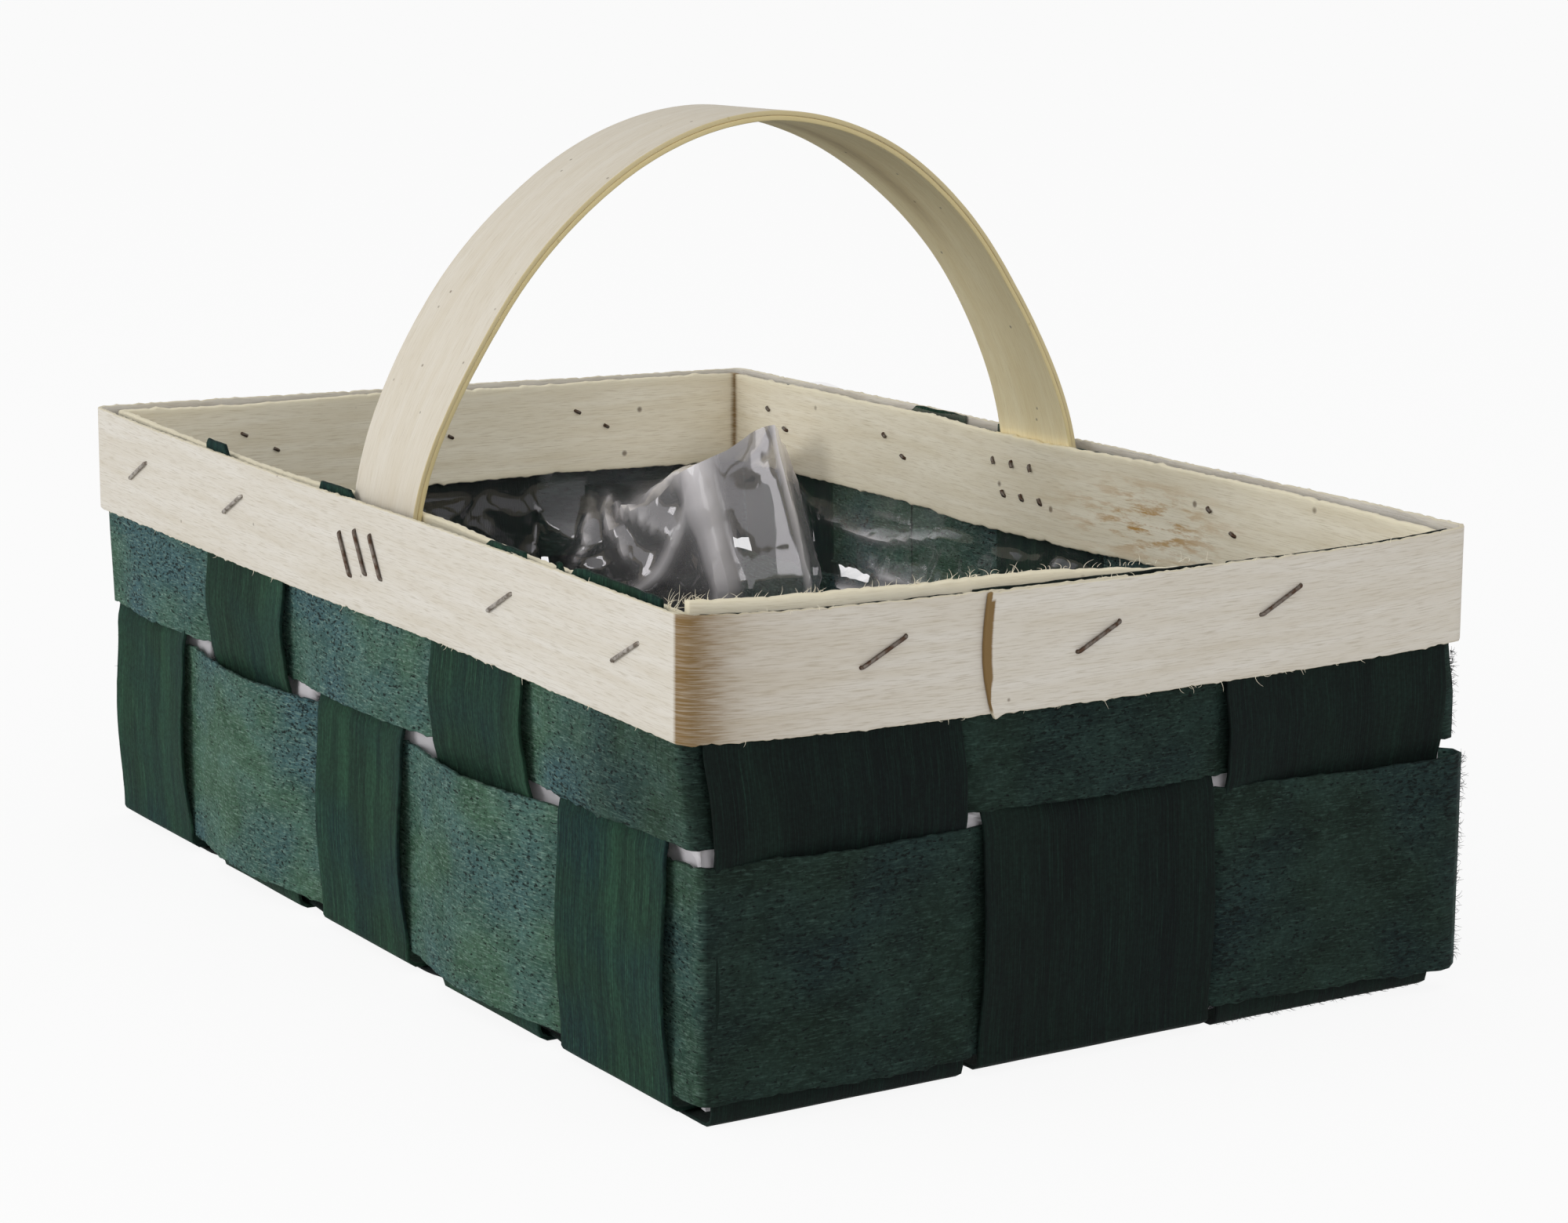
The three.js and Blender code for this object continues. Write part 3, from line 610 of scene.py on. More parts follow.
class Route:
    """A line that a strip follows. It knows the direction across the strip and its outward face."""

    def __init__(self, centres: Iterable[Vector], across: Vector) -> None:
        """Takes the line's points and the direction across the strip, which is the same all along."""
        self.centres: list[Vector] = []
        for point in centres:
            if not self.centres or (point - self.centres[-1]).length > 0.001 * MM:
                self.centres.append(point)
        self.across = across
        self.distances = [0.0]
        for before, after in zip(self.centres, self.centres[1:]):
            self.distances.append(self.distances[-1] + (after - before).length)
        last = len(self.centres) - 1
        self.outs = []
        for i in range(last + 1):
            tangent = self.centres[min(i + 1, last)] - self.centres[max(i - 1, 0)]
            self.outs.append(tangent.cross(across).normalized())

    @property
    def length(self) -> float:
        """The line's length."""
        return self.distances[-1]

    def at(self, u: float) -> tuple[Vector, Vector]:
        """Gives the point and the outward direction at a distance along the line.

        Args:
            u: the distance. Before the start and past the end, the line goes straight on.

        Returns:
            The point and the outward direction.
        """
        i = min(max(bisect.bisect_right(self.distances, u) - 1, 0), len(self.centres) - 2)
        span = self.distances[i + 1] - self.distances[i]
        share = (u - self.distances[i]) / span
        centre = self.centres[i].lerp(self.centres[i + 1], share)
        out = self.outs[i].lerp(self.outs[i + 1], min(max(share, 0.0), 1.0)).normalized()
        return centre, out


@dataclass(frozen=True)
class EdgeWear:
    """How a strip's long cut edges wander and tear."""

    wander: float = 0.3 * MM
    wander_length: float = 30 * MM
    tear: float = 0.25 * MM
    tear_length: float = 2.2 * MM

    def at(self, u: float, seed: float) -> float:
        """Gives how far the edge stands out at a distance along the strip."""
        slow = noise.noise(Vector((u / self.wander_length, seed, 0.0)))
        fast = noise.noise(Vector((u / self.tear_length, seed, 7.3)))
        fine = noise.noise(Vector((u / (self.tear_length * 0.37), seed, 3.1)))
        return self.wander * slow + self.tear * (fast * abs(fast) * 2.2 + 0.45 * fine)


@dataclass
class Board:
    """A flat strip of veneer with softened cut edges, ready to be bent.

    In its own frame u runs along it, v across it from its lower edge, and w outwards from its middle.
    """

    length: float
    width: float
    thickness: float
    column: float
    row: float
    softening_share: float = 0.3
    crowding: float = 0.45
    corner_angle: float = 0.8

    def cut(self) -> bmesh.types.BMesh:
        """Cuts the flat strip and writes its own coordinates into it."""
        columns = max(round(self.length / self.column), 2)
        rows = max(round(self.width / self.row), 2)
        mesh = bmesh.new()
        bmesh.ops.create_grid(mesh, x_segments=columns, y_segments=rows, size=0.5)
        place = Matrix.Translation((self.length / 2, self.width / 2, -self.thickness / 2))
        size = Matrix.Diagonal((self.length, self.width, 1.0, 1.0))
        bmesh.ops.transform(mesh, matrix=place @ size, verts=mesh.verts[:])
        for vert in mesh.verts:
            turn = math.tau * vert.co.y / self.width
            vert.co.y -= self.crowding * self.width * math.sin(turn) / math.tau
        lifted = bmesh.ops.extrude_face_region(mesh, geom=mesh.faces[:])["geom"]
        bmesh.ops.translate(mesh, vec=(0, 0, self.thickness),
                            verts=[g for g in lifted if isinstance(g, bmesh.types.BMVert)])
        bmesh.ops.recalc_face_normals(mesh, faces=mesh.faces[:])
        corners = [e for e in mesh.edges
                   if len(e.link_faces) == 2 and e.calc_face_angle() > self.corner_angle]
        bmesh.ops.bevel(mesh, geom=corners, offset=self.thickness * self.softening_share, segments=2,
                        profile=0.5, affect="EDGES", material=-1)
        return mesh


Lift = Callable[[float, float], float]
Paint = Callable[[float, float, float, Vector], float]


def flat(_u: float, _v: float) -> float:
    """The lift of a strip that follows its route closely."""
    return 0.0


@dataclass
class Strip:
    """A strip of veneer bent along a route."""

    name: str
    board: Board
    route: Route
    lower: float
    wear: EdgeWear
    seed: float
    lift: Lift = flat
    paints: dict[str, Paint] = field(default_factory=dict)
    start_cut: Callable[[float], float] | None = None
    end_cut: Callable[[float], float] | None = None
    bleed: float = 0.0
    bleed_reach: float = 3 * MM
    edge_reach: float = 7 * MM
    end_reach: float = 8 * MM
    relief: float = 0.12 * MM
    relief_size: float = 22 * MM
    upper_edge: Callable[[float], float] | None = None
    lower_edge: Callable[[float], float] | None = None
    lean: bool = True
    after: Callable[[Vector], Vector] | None = None

    def bend(self) -> bpy.types.Mesh:
        """Cuts the board, wears its edges and bends it.

        Returns:
            The finished mesh, with the attributes that its material reads.
        """
        board = self.board
        mesh = board.cut()
        grain = mesh.verts.layers.float_vector.new("grain")
        rim = mesh.verts.layers.float.new("rim")
        layers = {name: mesh.verts.layers.float.new(name) for name in self.paints}
        soft = board.thickness * board.softening_share * 0.9
        reach = min(board.width / 4, self.edge_reach)
        stations: dict[float, tuple[Vector, Vector]] = {}
        for vert in mesh.verts:
            u, v, w = vert.co
            edge = min(v, board.width - v, u, board.length - u)
            vert[rim] = 1.0 if edge < soft else self.bleed * max(1 - edge / self.bleed_reach, 0.0)
            to_end = board.length - u
            if self.start_cut and u < self.end_reach:
                u += self.start_cut(v) * (1 - u / self.end_reach)
            if self.end_cut and to_end < self.end_reach:
                u -= self.end_cut(v) * (1 - to_end / self.end_reach)
            key = round(u, 6)
            if key not in stations:
                stations[key] = self.route.at(u)
            centre, out = stations[key]
            top, bottom = ease(1 - (board.width - v) / reach), ease(1 - v / reach)
            if top > 0:
                rise = self.upper_edge(u) if self.upper_edge else 0.0
                v += top * (self.wear.at(u, self.seed) + rise)
            if bottom > 0:
                fall = self.lower_edge(u) if self.lower_edge else 0.0
                v -= bottom * (self.wear.at(u, self.seed + 5.5) + fall)
            vert[grain] = Vector((u + self.seed, v, w))
            wave = noise.noise(Vector((u, v, self.seed * 3.7)) / self.relief_size)
            height = w + self.lift(u, v) + self.relief * wave
            point = centre + self.route.across * (self.lower + v) + out * height
            for name, layer in layers.items():
                vert[layer] = self.paints[name](u, v, w, point)
            if self.after:
                point = self.after(point)
            vert.co = point + LEAN.shift(point) if self.lean else point
        return finished(mesh, self.name)


def put_piece(mesh: bpy.types.Mesh, material: bpy.types.Material,
              nodes: Iterable[str] = ()) -> bpy.types.Object:
    """Puts a finished mesh into the basket.

    Args:
        mesh: the mesh, which gives the piece its name.
        material: its material.
        nodes: the plain solids that it stands for.

    Returns:
        The new piece.
    """
    piece = put_in_scene(mesh.name, mesh)
    mesh.materials.append(material)
    mesh.shade_smooth()
    mesh.set_sharp_from_angle(angle=math.radians(50))
    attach(piece, "root")
    nodes = list(nodes)
    if nodes:
        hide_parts(*nodes)
    log.info("%s: %d faces", mesh.name, len(mesh.polygons))
    return piece


@dataclass
class Wall:
    """Where the woven wall stands and how it is laid out, worked out from the frame's solids."""

    half_length: float
    half_width: float
    cross: list[Pair]
    long: list[Pair]
    stake_top: float
    lower_top: float
    upper_bottom: float
    lower_bottom: float
    upper_top: float
    band_bottom: float
    band_top: float
    veneer: float = 1.0 * MM
    clearance: float = 0.3 * MM
    corner_radius: float = 2.5 * MM
    corner_steps: int = 8
    fold_radius: float = 2.5 * MM

    @property
    def layer(self) -> float:
        """How far the middle of a stake or weaver stands from the wall's middle."""
        return (self.veneer + self.clearance) / 2

    @classmethod
    def from_frame(cls) -> "Wall":
        """Reads the wall's place and its stakes from the frame."""
        band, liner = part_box("outer_band"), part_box("liner")
        band_thickness = 1.2 * MM
        lower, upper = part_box("lower_weaver"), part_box("upper_weaver")
        cross = [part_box(f"cross_stake_{i}") for i in range(1, 6)]
        along = [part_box(f"long_stake_{i}") for i in range(1, 4)]
        return cls(
            half_length=(-band[0].x - band_thickness + liner[1].x) / 2,
            half_width=(band[1].y - band_thickness + liner[1].y) / 2,
            cross=[((lo.x + hi.x) / 2, (hi.x - lo.x) / 2) for lo, hi in cross],
            long=[((lo.y + hi.y) / 2, (hi.y - lo.y) / 2) for lo, hi in along],
            stake_top=cross[0][1].z, lower_top=lower[1].z, upper_bottom=upper[0].z,
            lower_bottom=lower[0].z, upper_top=upper[1].z, band_bottom=band[0].z, band_top=band[1].z)

    def across(self, side: Side) -> float:
        """Half the distance between this side's wall and the one opposite."""
        return self.half_width if side.is_long else self.half_length

    def along(self, side: Side) -> float:
        """Half the length of this side's wall."""
        return self.half_length if side.is_long else self.half_width

    def stakes_on(self, side: Side) -> list[tuple[float, float, bool]]:
        """Lists a side's stakes in its running direction.

        Args:
            side: the side.

        Returns:
            For each stake its middle, its half-width and whether it stands outside the lower weaver.
        """
        row = self.cross if side.is_long else self.long
        backwards = side.value >= 2
        other = {Side.FRONT: 0, Side.RIGHT: 4, Side.BACK: 2, Side.LEFT: 0}[side]
        stakes = []
        for order in range(len(row)):
            index = len(row) - 1 - order if backwards else order
            middle, half = row[index]
            even = (index + other) % 2 == 0
            stakes.append((-middle if backwards else middle, half, even == side.is_long))
        return stakes

    def round_route(self, offset: Callable[[Side, float, bool], float], radius: float, side: Side,
                    start: float, finish: float, corners: int = 4, step: float = 1.5 * MM) -> Route:
        """Makes the route of a strip that runs round the basket.

        Args:
            offset: the strip's offset from the wall's middle at a place, and whether that is the first side.
            radius: the strip's radius in the corners.
            side: the side that it starts on.
            start: where it starts on that side.
            finish: where it ends on its last side.
            corners: how many corners it turns.
            step: the distance between the route's points.

        Returns:
            The route at height zero.
        """
        def end(here: Side, at_start: bool) -> float:
            neighbour = here.next(3 if at_start else 1)
            place = self.along(neighbour) * (1 if at_start else -1)
            reach = self.along(here) + offset(neighbour, place, False) - radius
            return -reach if at_start else reach

        points: list[Vector] = []
        here = side
        for turn in range(corners + 1):
            first, last = turn == 0, turn == corners
            low = start if first else end(here, True)
            high = finish if last else end(here, False)
            count = max(math.ceil((high - low) / step), 1)
            for i in range(count + 1):
                place = blend(low, high, i / count)
                points.append(here.to_plan(place, self.across(here) + offset(here, place, first)))
            if last:
                break
            out = self.across(here) + offset(here, self.along(here), False) - radius
            for i in range(1, self.corner_steps):
                angle = math.pi / 2 * i / self.corner_steps
                points.append(here.to_plan(high + radius * math.sin(angle), out + radius * math.cos(angle)))
            here = here.next()
        return Route(points, UP)


@dataclass
class WovenBody:
    """The woven box: five stakes across, three along, and two weavers round them."""

    wall: Wall
    materials: Materials
    panel_bulge: float = 3.6 * MM
    short_bulge: float = 1.6 * MM
    upper_bulge: float = 1.8 * MM
    corner_swell: float = 4.5 * MM
    corner_runs: Pair = (5 * MM, 22 * MM)
    upper_loose: float = 0.4
    stake_bow: float = 1.2 * MM
    stake_cup: float = 0.5 * MM
    stake_tilt: float = 0.8 * MM
    ragged: float = 0.35 * MM
    ragged_length: float = 4 * MM
    recess: tuple[float, ...] = mm(1.6, 0.1, 2.2, 3.0)
    proud: tuple[tuple[float, ...], ...] = (
        (-1, *mm(-96, -81, 2.6)), (-1, *mm(-26, -5, 1.4)), (-1, *mm(71, 111, 1.0)),
        (-1, *mm(115, 160, 1.4)), (1, *mm(-72, -19, 0.25)))
    proud_ramp: float = 2 * MM
    cup_from: float = 10 * MM
    cup_to: float = 118 * MM
    cup_ramp: float = 20 * MM
    wall_steps: int = 80
    fold_steps: int = 6
    crossing_steps: int = 8
    # Painted numbers that mix stakes and weavers towards their deep colours: the cross stakes' values are
    # their own uneven dyeing; the long stakes' value, the weavers' short side value and the corner value are
    # painted shade, for the sides that stand in shade.
    cross_dye: Pair = (0.14, 0.12)
    long_dye: float = 0.95
    weaver_dye: Pair = (0.04, 0.86)
    turn_range: Pair = (0.1, 0.8)
    corner_shade: float = 0.55
    lower_corner_share: float = 0.75
    corner_shade_run: Pair = mm(92, 50)
    free_share: float = 0.6
    stake_cell: Pair = mm(2.0, 2.6)
    weaver_cell: Pair = mm(1.5, 3.2)
    upper_edge_drop: float = 1.4 * MM
    stake_wear: EdgeWear = EdgeWear(wander=0.5 * MM, wander_length=60 * MM, tear=0.12 * MM)
    weaver_wear: EdgeWear = EdgeWear(wander=0.9 * MM, wander_length=45 * MM, tear=0.6 * MM,
                                     tear_length=3.2 * MM)

    def build(self) -> None:
        """Makes every stake and both weavers."""
        for index in range(len(self.wall.cross)):
            self.cross_stake(index)
        for index in range(len(self.wall.long)):
            self.long_stake(index)
        self.weaver(lower=True)
        self.weaver(lower=False)

    def section(self, wall: float, row: list[Pair],
                on_top: list[bool]) -> list[Pair]:
        """Draws a stake's length: down one wall, across the base and up the other.

        Args:
            wall: half the distance between the two walls.
            row: the middle and half-width of each stake that this one crosses in the base.
            on_top: whether it lies on top at each of those crossings.

        Returns:
            Points along the stake's middle, each a distance across the basket and a height.
        """
        w = self.wall
        low, high = w.veneer / 2, w.veneer * 1.5 + w.clearance

        def upright(end: int, outside_lower: bool) -> list[Pair]:
            lower = w.layer if outside_lower else -w.layer
            bottom, top = (w.lower_bottom, w.lower_top) if outside_lower else (w.upper_bottom, w.band_bottom)
            run = []
            for i in range(self.wall_steps + 1):
                z = blend(w.stake_top, w.fold_radius + low, i / self.wall_steps)
                share = ease((w.upper_bottom + 1 * MM - z) / (w.upper_bottom - w.lower_top + 2 * MM))
                offset = blend(-lower, lower, share)
                if bottom < z < top:
                    offset += self.stake_bow * math.sin(math.pi * ((z - bottom) / (top - bottom))) ** 2
                run.append((end * (wall + offset), z))
            level = high if outside_lower else low
            centre = wall + lower - w.fold_radius
            for i in range(1, self.fold_steps + 1):
                angle = math.pi / 2 * i / self.fold_steps
                run.append((end * (centre + w.fold_radius * math.cos(angle)),
                            level + w.fold_radius * (1 - math.sin(angle))))
            return run

        points = upright(-1, on_top[0])
        for order in range(len(row) - 1):
            start, finish = row[order][0] + row[order][1], row[order + 1][0] - row[order + 1][1]
            for i in range(self.crossing_steps + 1):
                share = i / self.crossing_steps
                before, after = (high if top else low for top in on_top[order:order + 2])
                points.append((blend(start, finish, share), blend(before, after, ease(share))))
        return points + upright(1, on_top[-1])[::-1]

    def top_cut(self, side: Side, along: float) -> float:
        """How far a stake's top is cut back from its solid's at a place along X or Y on a side."""
        base = -self.recess[side.value]
        rise = base
        if side.is_long:
            end = -1 if side is Side.FRONT else 1
            for here, start, stop, height in self.proud:
                if here == end:
                    share = ease((along - start) / self.proud_ramp) * ease((stop - along) / self.proud_ramp)
                    rise = max(rise, blend(base, height, share))
        ragged = self.ragged * noise.noise(Vector((along / self.ragged_length, side.value * 3.3, 1.0)))
        return self.wall.stake_top - self.wall.band_top - rise + ragged

    def stake_strip(self, name: str, route: Route, half: float, seed: float, dye: Paint,
                    start_cut: Callable[[float], float], end_cut: Callable[[float], float]) -> None:
        """Bends one stake and puts it in place of its solid."""
        def cup(u: float, v: float) -> float:
            near_end = min(u, route.length - u)
            upright = ease((near_end - self.cup_from) / self.cup_ramp)
            upright *= ease((self.cup_to - near_end) / self.cup_ramp)
            side = (v - half) / half
            return upright * (self.stake_cup * side ** 2 + self.stake_tilt * max(side, 0.0) ** 2)

        board = Board(route.length, 2 * half, self.wall.veneer, *self.stake_cell)
        strip = Strip(name + "_veneer", board, route, -half, self.stake_wear, seed, lift=cup,
                      paints={"dye": dye}, start_cut=start_cut, end_cut=end_cut)
        put_piece(strip.bend(), self.materials["stake"], [name])

    def cross_stake(self, index: int) -> None:
        """Makes one stake that runs up both long sides."""
        middle, half = self.wall.cross[index]
        on_top = [(index + i) % 2 == 0 for i in range(len(self.wall.long))]
        points = self.section(self.wall.half_width, self.wall.long, on_top)
        route = Route([Vector((middle, y, z)) for y, z in points], Vector((1, 0, 0)))
        base, streaks = self.cross_dye
        self.stake_strip(f"cross_stake_{index + 1}", route, half, SEEDS["cross_stake"] + index,
                         lambda u, v, w, p: base + streaks * noise.noise(Vector((v * 60, index * 3.1, 0))),
                         lambda v: self.top_cut(Side.FRONT, middle - half + v),
                         lambda v: self.top_cut(Side.BACK, middle - half + v))

    def long_stake(self, index: int) -> None:
        """Makes one stake that runs up both short sides."""
        middle, half = self.wall.long[index]
        on_top = [(index + i) % 2 == 1 for i in range(len(self.wall.cross))]
        points = self.section(self.wall.half_length, self.wall.cross, on_top)
        route = Route([Vector((x, middle, z)) for x, z in points], Vector((0, -1, 0)))
        # Painted shade: the long stakes show on the short sides, which stand in shade, so they are near black
        # all along.
        self.stake_strip(f"long_stake_{index + 1}", route, half, SEEDS["long_stake"] + index,
                         lambda u, v, w, p: self.long_dye,
                         lambda v: self.top_cut(Side.LEFT, middle + half - v),
                         lambda v: self.top_cut(Side.RIGHT, middle + half - v))

    def weaver_offset(self, side: Side, place: float, lower: bool) -> float:
        """How far a weaver's middle stands from the wall's middle."""
        stakes = self.wall.stakes_on(side)
        layer = self.wall.layer

        def sign(stake: tuple[float, float, bool]) -> int:
            return -1 if stake[2] == lower else 1

        offset = None
        for stake in stakes:
            if abs(place - stake[0]) <= stake[1]:
                offset = sign(stake) * layer
        if offset is None:
            following = [i for i, s in enumerate(stakes) if place < s[0] - s[1]]
            if not following:
                offset = sign(stakes[-1]) * layer
            elif following[0] == 0:
                offset = sign(stakes[0]) * layer
            else:
                before, after = stakes[following[0] - 1], stakes[following[0]]
                start, end = before[0] + before[1], after[0] - after[1]
                offset = blend(sign(before), sign(after), ease((place - start) / (end - start))) * layer
        return offset

    def bulge(self, side: Side, place: float, lower: bool) -> float:
        """How far a weaver's free panel stands out, between the stakes that cover it."""
        stakes = self.wall.stakes_on(side)
        covers = [(s[0] - s[1], s[0] + s[1]) for s in stakes if s[2] == lower]
        for (_, left), (right, _) in zip(covers, covers[1:]):
            if left < place < right:
                swell = self.panel_bulge if lower else self.upper_bulge
                return swell * math.sin(math.pi * (place - left) / (right - left)) ** 2
        for middle, half, outside in stakes:
            if outside != lower and abs(place - middle) < half:
                return self.short_bulge * math.cos(math.pi * (place - middle) / (2 * half)) ** 2
        return 0.0

    def weaver(self, lower: bool) -> None:
        """Makes one weaver, whose ends meet behind a stake on the back."""
        w = self.wall
        name = "lower_weaver" if lower else "upper_weaver"
        bottom, top = (w.lower_bottom, w.lower_top) if lower else (w.upper_bottom, w.upper_top)
        covered = [s[0] for s in w.stakes_on(Side.BACK) if s[2] == lower]
        seam = covered[len(covered) // 2]
        route = w.round_route(lambda side, place, _: self.weaver_offset(side, place, lower),
                              w.corner_radius, Side.BACK, seam, seam - w.clearance)

        free = top - bottom if lower else w.band_bottom - bottom
        swells: dict[float, float] = {}

        def swell(u: float, v: float) -> float:
            key = round(u, 5)
            if key not in swells:
                swells[key] = self.swell_at(route.at(u)[0], lower)
            if lower:
                return swells[key]
            down = max(1 - v / free, 0.0)
            return swells[key] * ease(down / self.free_share)

        # Painted shade: near black where the weaver runs round the short sides, which stand in shade, and
        # darker towards the right end of the long sides; the small base value is the weaver's own dyeing.
        def dye(u: float, v: float, depth: float, point: Vector) -> float:
            _, out = route.at(u)
            start, run = self.corner_shade_run
            corner = self.corner_shade * ease((point.x - start) / run)
            corner *= self.lower_corner_share if lower else 1.0
            base, more = self.weaver_dye
            turned, turn = self.turn_range
            return base + corner + (more - corner) * ease((abs(out.x) - turned) / turn)

        def top_edge(_u: float) -> float:
            return 0.0 if lower else -self.upper_edge_drop

        board = Board(route.length, top - bottom, w.veneer, *self.weaver_cell)
        strip = Strip(name + "_veneer", board, route, bottom, self.weaver_wear, SEEDS[name], lift=swell,
                      paints={"dye": dye}, relief=0.2 * MM, upper_edge=top_edge)
        put_piece(strip.bend(), self.materials["weaver"], [name])

    def swell_at(self, centre: Vector, lower: bool) -> float:
        """How far a weaver swells out at a point of its route, most at the loose back right corner."""
        short, long = self.corner_runs if lower else (self.corner_runs[0],) * 2
        beside = math.exp(-(max(self.wall.half_length - centre.x, 0.0) / short) ** 2)
        beside *= math.exp(-(max(self.wall.half_width - centre.y, 0.0) / long) ** 2)
        loose = beside * (1.0 if lower else self.upper_loose)
        for side in Side:
            out = side.outward()
            if centre.dot(out) > self.wall.across(side) - 2 * self.wall.corner_radius:
                swell = self.bulge(side, centre.dot(side.running()), lower)
                return swell + self.corner_swell * loose
        return 0.0


@dataclass
class RimBands:
    """The outer band, lapped on the right side, and the thicker inner band inside the rim."""

    wall: Wall
    materials: Materials
    outer_thickness: float = 1.2 * MM
    inner_thickness: float = 2.2 * MM
    film: float = 0.3 * MM
    outer_radius: float = 3.0 * MM
    crease_radius: float = 0.3 * MM
    lap_start: float = -32.5 * MM
    lap_length: float = 40 * MM
    lap_ramp: float = 30 * MM
    butt_gap: float = 0.5 * MM
    foot_width: float = 34 * MM
    foot_centres: Pair = mm(11, -6)
    foot_offset: float = -6.75 * MM
    ramp: float = 45 * MM
    crease_depth: float = 6 * MM
    lap_lift: float = 0.15 * MM
    lap_slant: float = 2.1
    lap_hollow: float = 1.3
    lap_flare: Pair = mm(1.8, 5)
    cut_reach: float = 0.8 * MM
    # Painted shade in the inner band's inside back left corner crease, and its spread.
    corner_crease_shade: Pair = (0.75, 0.8 * MM)
    corner_crease_shade_spread: Pair = (0.22, 9 * MM)
    right_edge: Pair = mm(3.2, -0.9)
    right_edge_run: Pair = mm(85, 65)
    outer_cell: Pair = mm(1.0, 2.6)
    inner_cell: Pair = mm(1.1, 2.6)
    # Marks on the right side: brown stain at the front corner bend and near it, a wide darkening that is
    # partly stain and partly painted shade, darker brown along the lap's cut end, and painted shade over the
    # rest of the side.
    corner_stain: Pair = (0.42, 9.5 * MM)
    near_stain: Pair = (0.3, 15 * MM)
    wide_stain_and_shade: Pair = (0.2, 100 * MM)
    cut_end_darkening: float = 2.2
    right_side_shade: float = 0.07
    rust_place: Pair = mm(52, 102)
    rust_spread: Pair = mm(26, 9)
    outer_wear: EdgeWear = EdgeWear(wander=0.35 * MM, wander_length=70 * MM, tear=0.32 * MM,
                                    tear_length=1.8 * MM)
    inner_wear: EdgeWear = EdgeWear(wander=0.7 * MM, wander_length=50 * MM, tear=0.45 * MM,
                                    tear_length=3.0 * MM)

    def build(self) -> None:
        """Makes both bands."""
        self.outer_band()
        self.inner_band()

    @property
    def outer_offset(self) -> float:
        """The outer band's offset from the wall's middle."""
        w = self.wall
        return w.layer + w.veneer / 2 + w.clearance + self.outer_thickness / 2

    def outer_band(self) -> None:
        """Makes the outer band, whose start lies over its own end."""
        w = self.wall
        base = self.outer_offset
        lap_end = self.lap_start + self.lap_length
        rise = self.outer_thickness + self.lap_lift

        def offset(side: Side, place: float, first: bool) -> float:
            if side is Side.RIGHT and first:
                return base + rise * (1 - ease((place - lap_end) / self.lap_ramp))
            return base

        route = w.round_route(offset, self.outer_radius, Side.RIGHT, self.lap_start, lap_end, step=1.0 * MM)
        width = w.band_top - w.band_bottom

        def start_cut(v: float) -> float:
            share = v / width
            return (self.lap_slant * (1 - share) ** 5 - self.lap_hollow * math.sin(math.pi * share)) * MM

        # Marks on the outer band: darker brown along the lap's cut end; a brown stain at the front right
        # corner bend, with a near spread; a wide darkening from that corner, partly stain and partly painted
        # shade; and a faint painted shade over the rest of the right side, which stands in shade.
        def stain(u: float, v: float, depth: float, point: Vector) -> float:
            if u < self.cut_reach:
                return self.cut_end_darkening
            if point.x > w.half_length and point.y < 0 and u > route.length / 2:
                gap = max(point.y + w.half_width, 0.0)
                dark, dark_reach = self.corner_stain
                near, near_reach = self.near_stain
                wide, wide_reach = self.wide_stain_and_shade
                spread = near * math.exp(-gap / near_reach) + wide * math.exp(-gap / wide_reach)
                return dark * math.exp(-(gap / dark_reach) ** 2) + spread
            return self.right_side_shade if point.x > w.half_length else 0.0

        def lower_edge(u: float) -> float:
            flare, run = self.lap_flare
            return flare * ease(1 - u / run)

        board = Board(route.length, width, self.outer_thickness, *self.outer_cell, softening_share=0.22)
        strip = Strip("outer_band_veneer", board, route, w.band_bottom, self.outer_wear,
                      SEEDS["outer_band"], paints={"stain": stain}, start_cut=start_cut,
                      lower_edge=lower_edge, relief=0.15 * MM, relief_size=30 * MM)
        put_piece(strip.bend(), self.materials["band"], ["outer_band"])

    def inner_offset(self, side: Side, place: float, _first: bool = False) -> float:
        """The inner band's offset from the wall's middle: it swings in to pass the handle's feet."""
        w = self.wall
        film_inner = -(w.layer + w.veneer / 2 + w.clearance + self.film)
        plain = film_inner - w.clearance - self.inner_thickness / 2
        if not side.is_long:
            return plain
        foot = self.foot_centres[0] if side is Side.FRONT else -self.foot_centres[1]
        past = (abs(place - foot) - self.foot_width / 2 - w.clearance) / self.ramp
        return blend(self.foot_offset, plain, ease(past))

    def inner_band(self) -> None:
        """Makes the inner band, whose splintered ends meet in the front right corner."""
        w = self.wall
        lo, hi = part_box("inner_band")
        half = self.inner_thickness / 2
        front, right = self.inner_offset(Side.FRONT, w.half_length), self.inner_offset(Side.RIGHT, 0.0)
        start = -(w.half_width + front + half)
        finish = w.half_length + right - half - self.butt_gap
        route = w.round_route(self.inner_offset, half + self.crease_radius, Side.RIGHT, start, finish,
                              corners=3, step=1.0 * MM)

        # Painted shade in the inside back left corner crease of the inner band: dark in the crease, with a
        # paler spread beside it.
        def stain(u: float, v: float, depth: float, point: Vector) -> float:
            corner = math.hypot(point.x + w.half_length, point.y - w.half_width)
            away = max(corner - self.crease_depth, 0.0)
            dark, dark_reach = self.corner_crease_shade
            pale, pale_reach = self.corner_crease_shade_spread
            return dark * math.exp(-(away / dark_reach) ** 2) + pale * math.exp(-away / pale_reach)

        def upper_edge(u: float) -> float:
            on_right = ease((2 * w.half_width - u) / (10 * MM))
            start, run = self.right_edge_run
            return on_right * blend(*self.right_edge, ease((u - start) / run))

        def rust(u: float, v: float, depth: float, point: Vector) -> float:
            if point.y < 0.9 * w.half_width - 6 * MM or depth > 0:
                return 0.0
            along = math.exp(-((point.x - self.rust_place[0]) / self.rust_spread[0]) ** 2)
            return along * math.exp(-((point.z - self.rust_place[1]) / self.rust_spread[1]) ** 2)

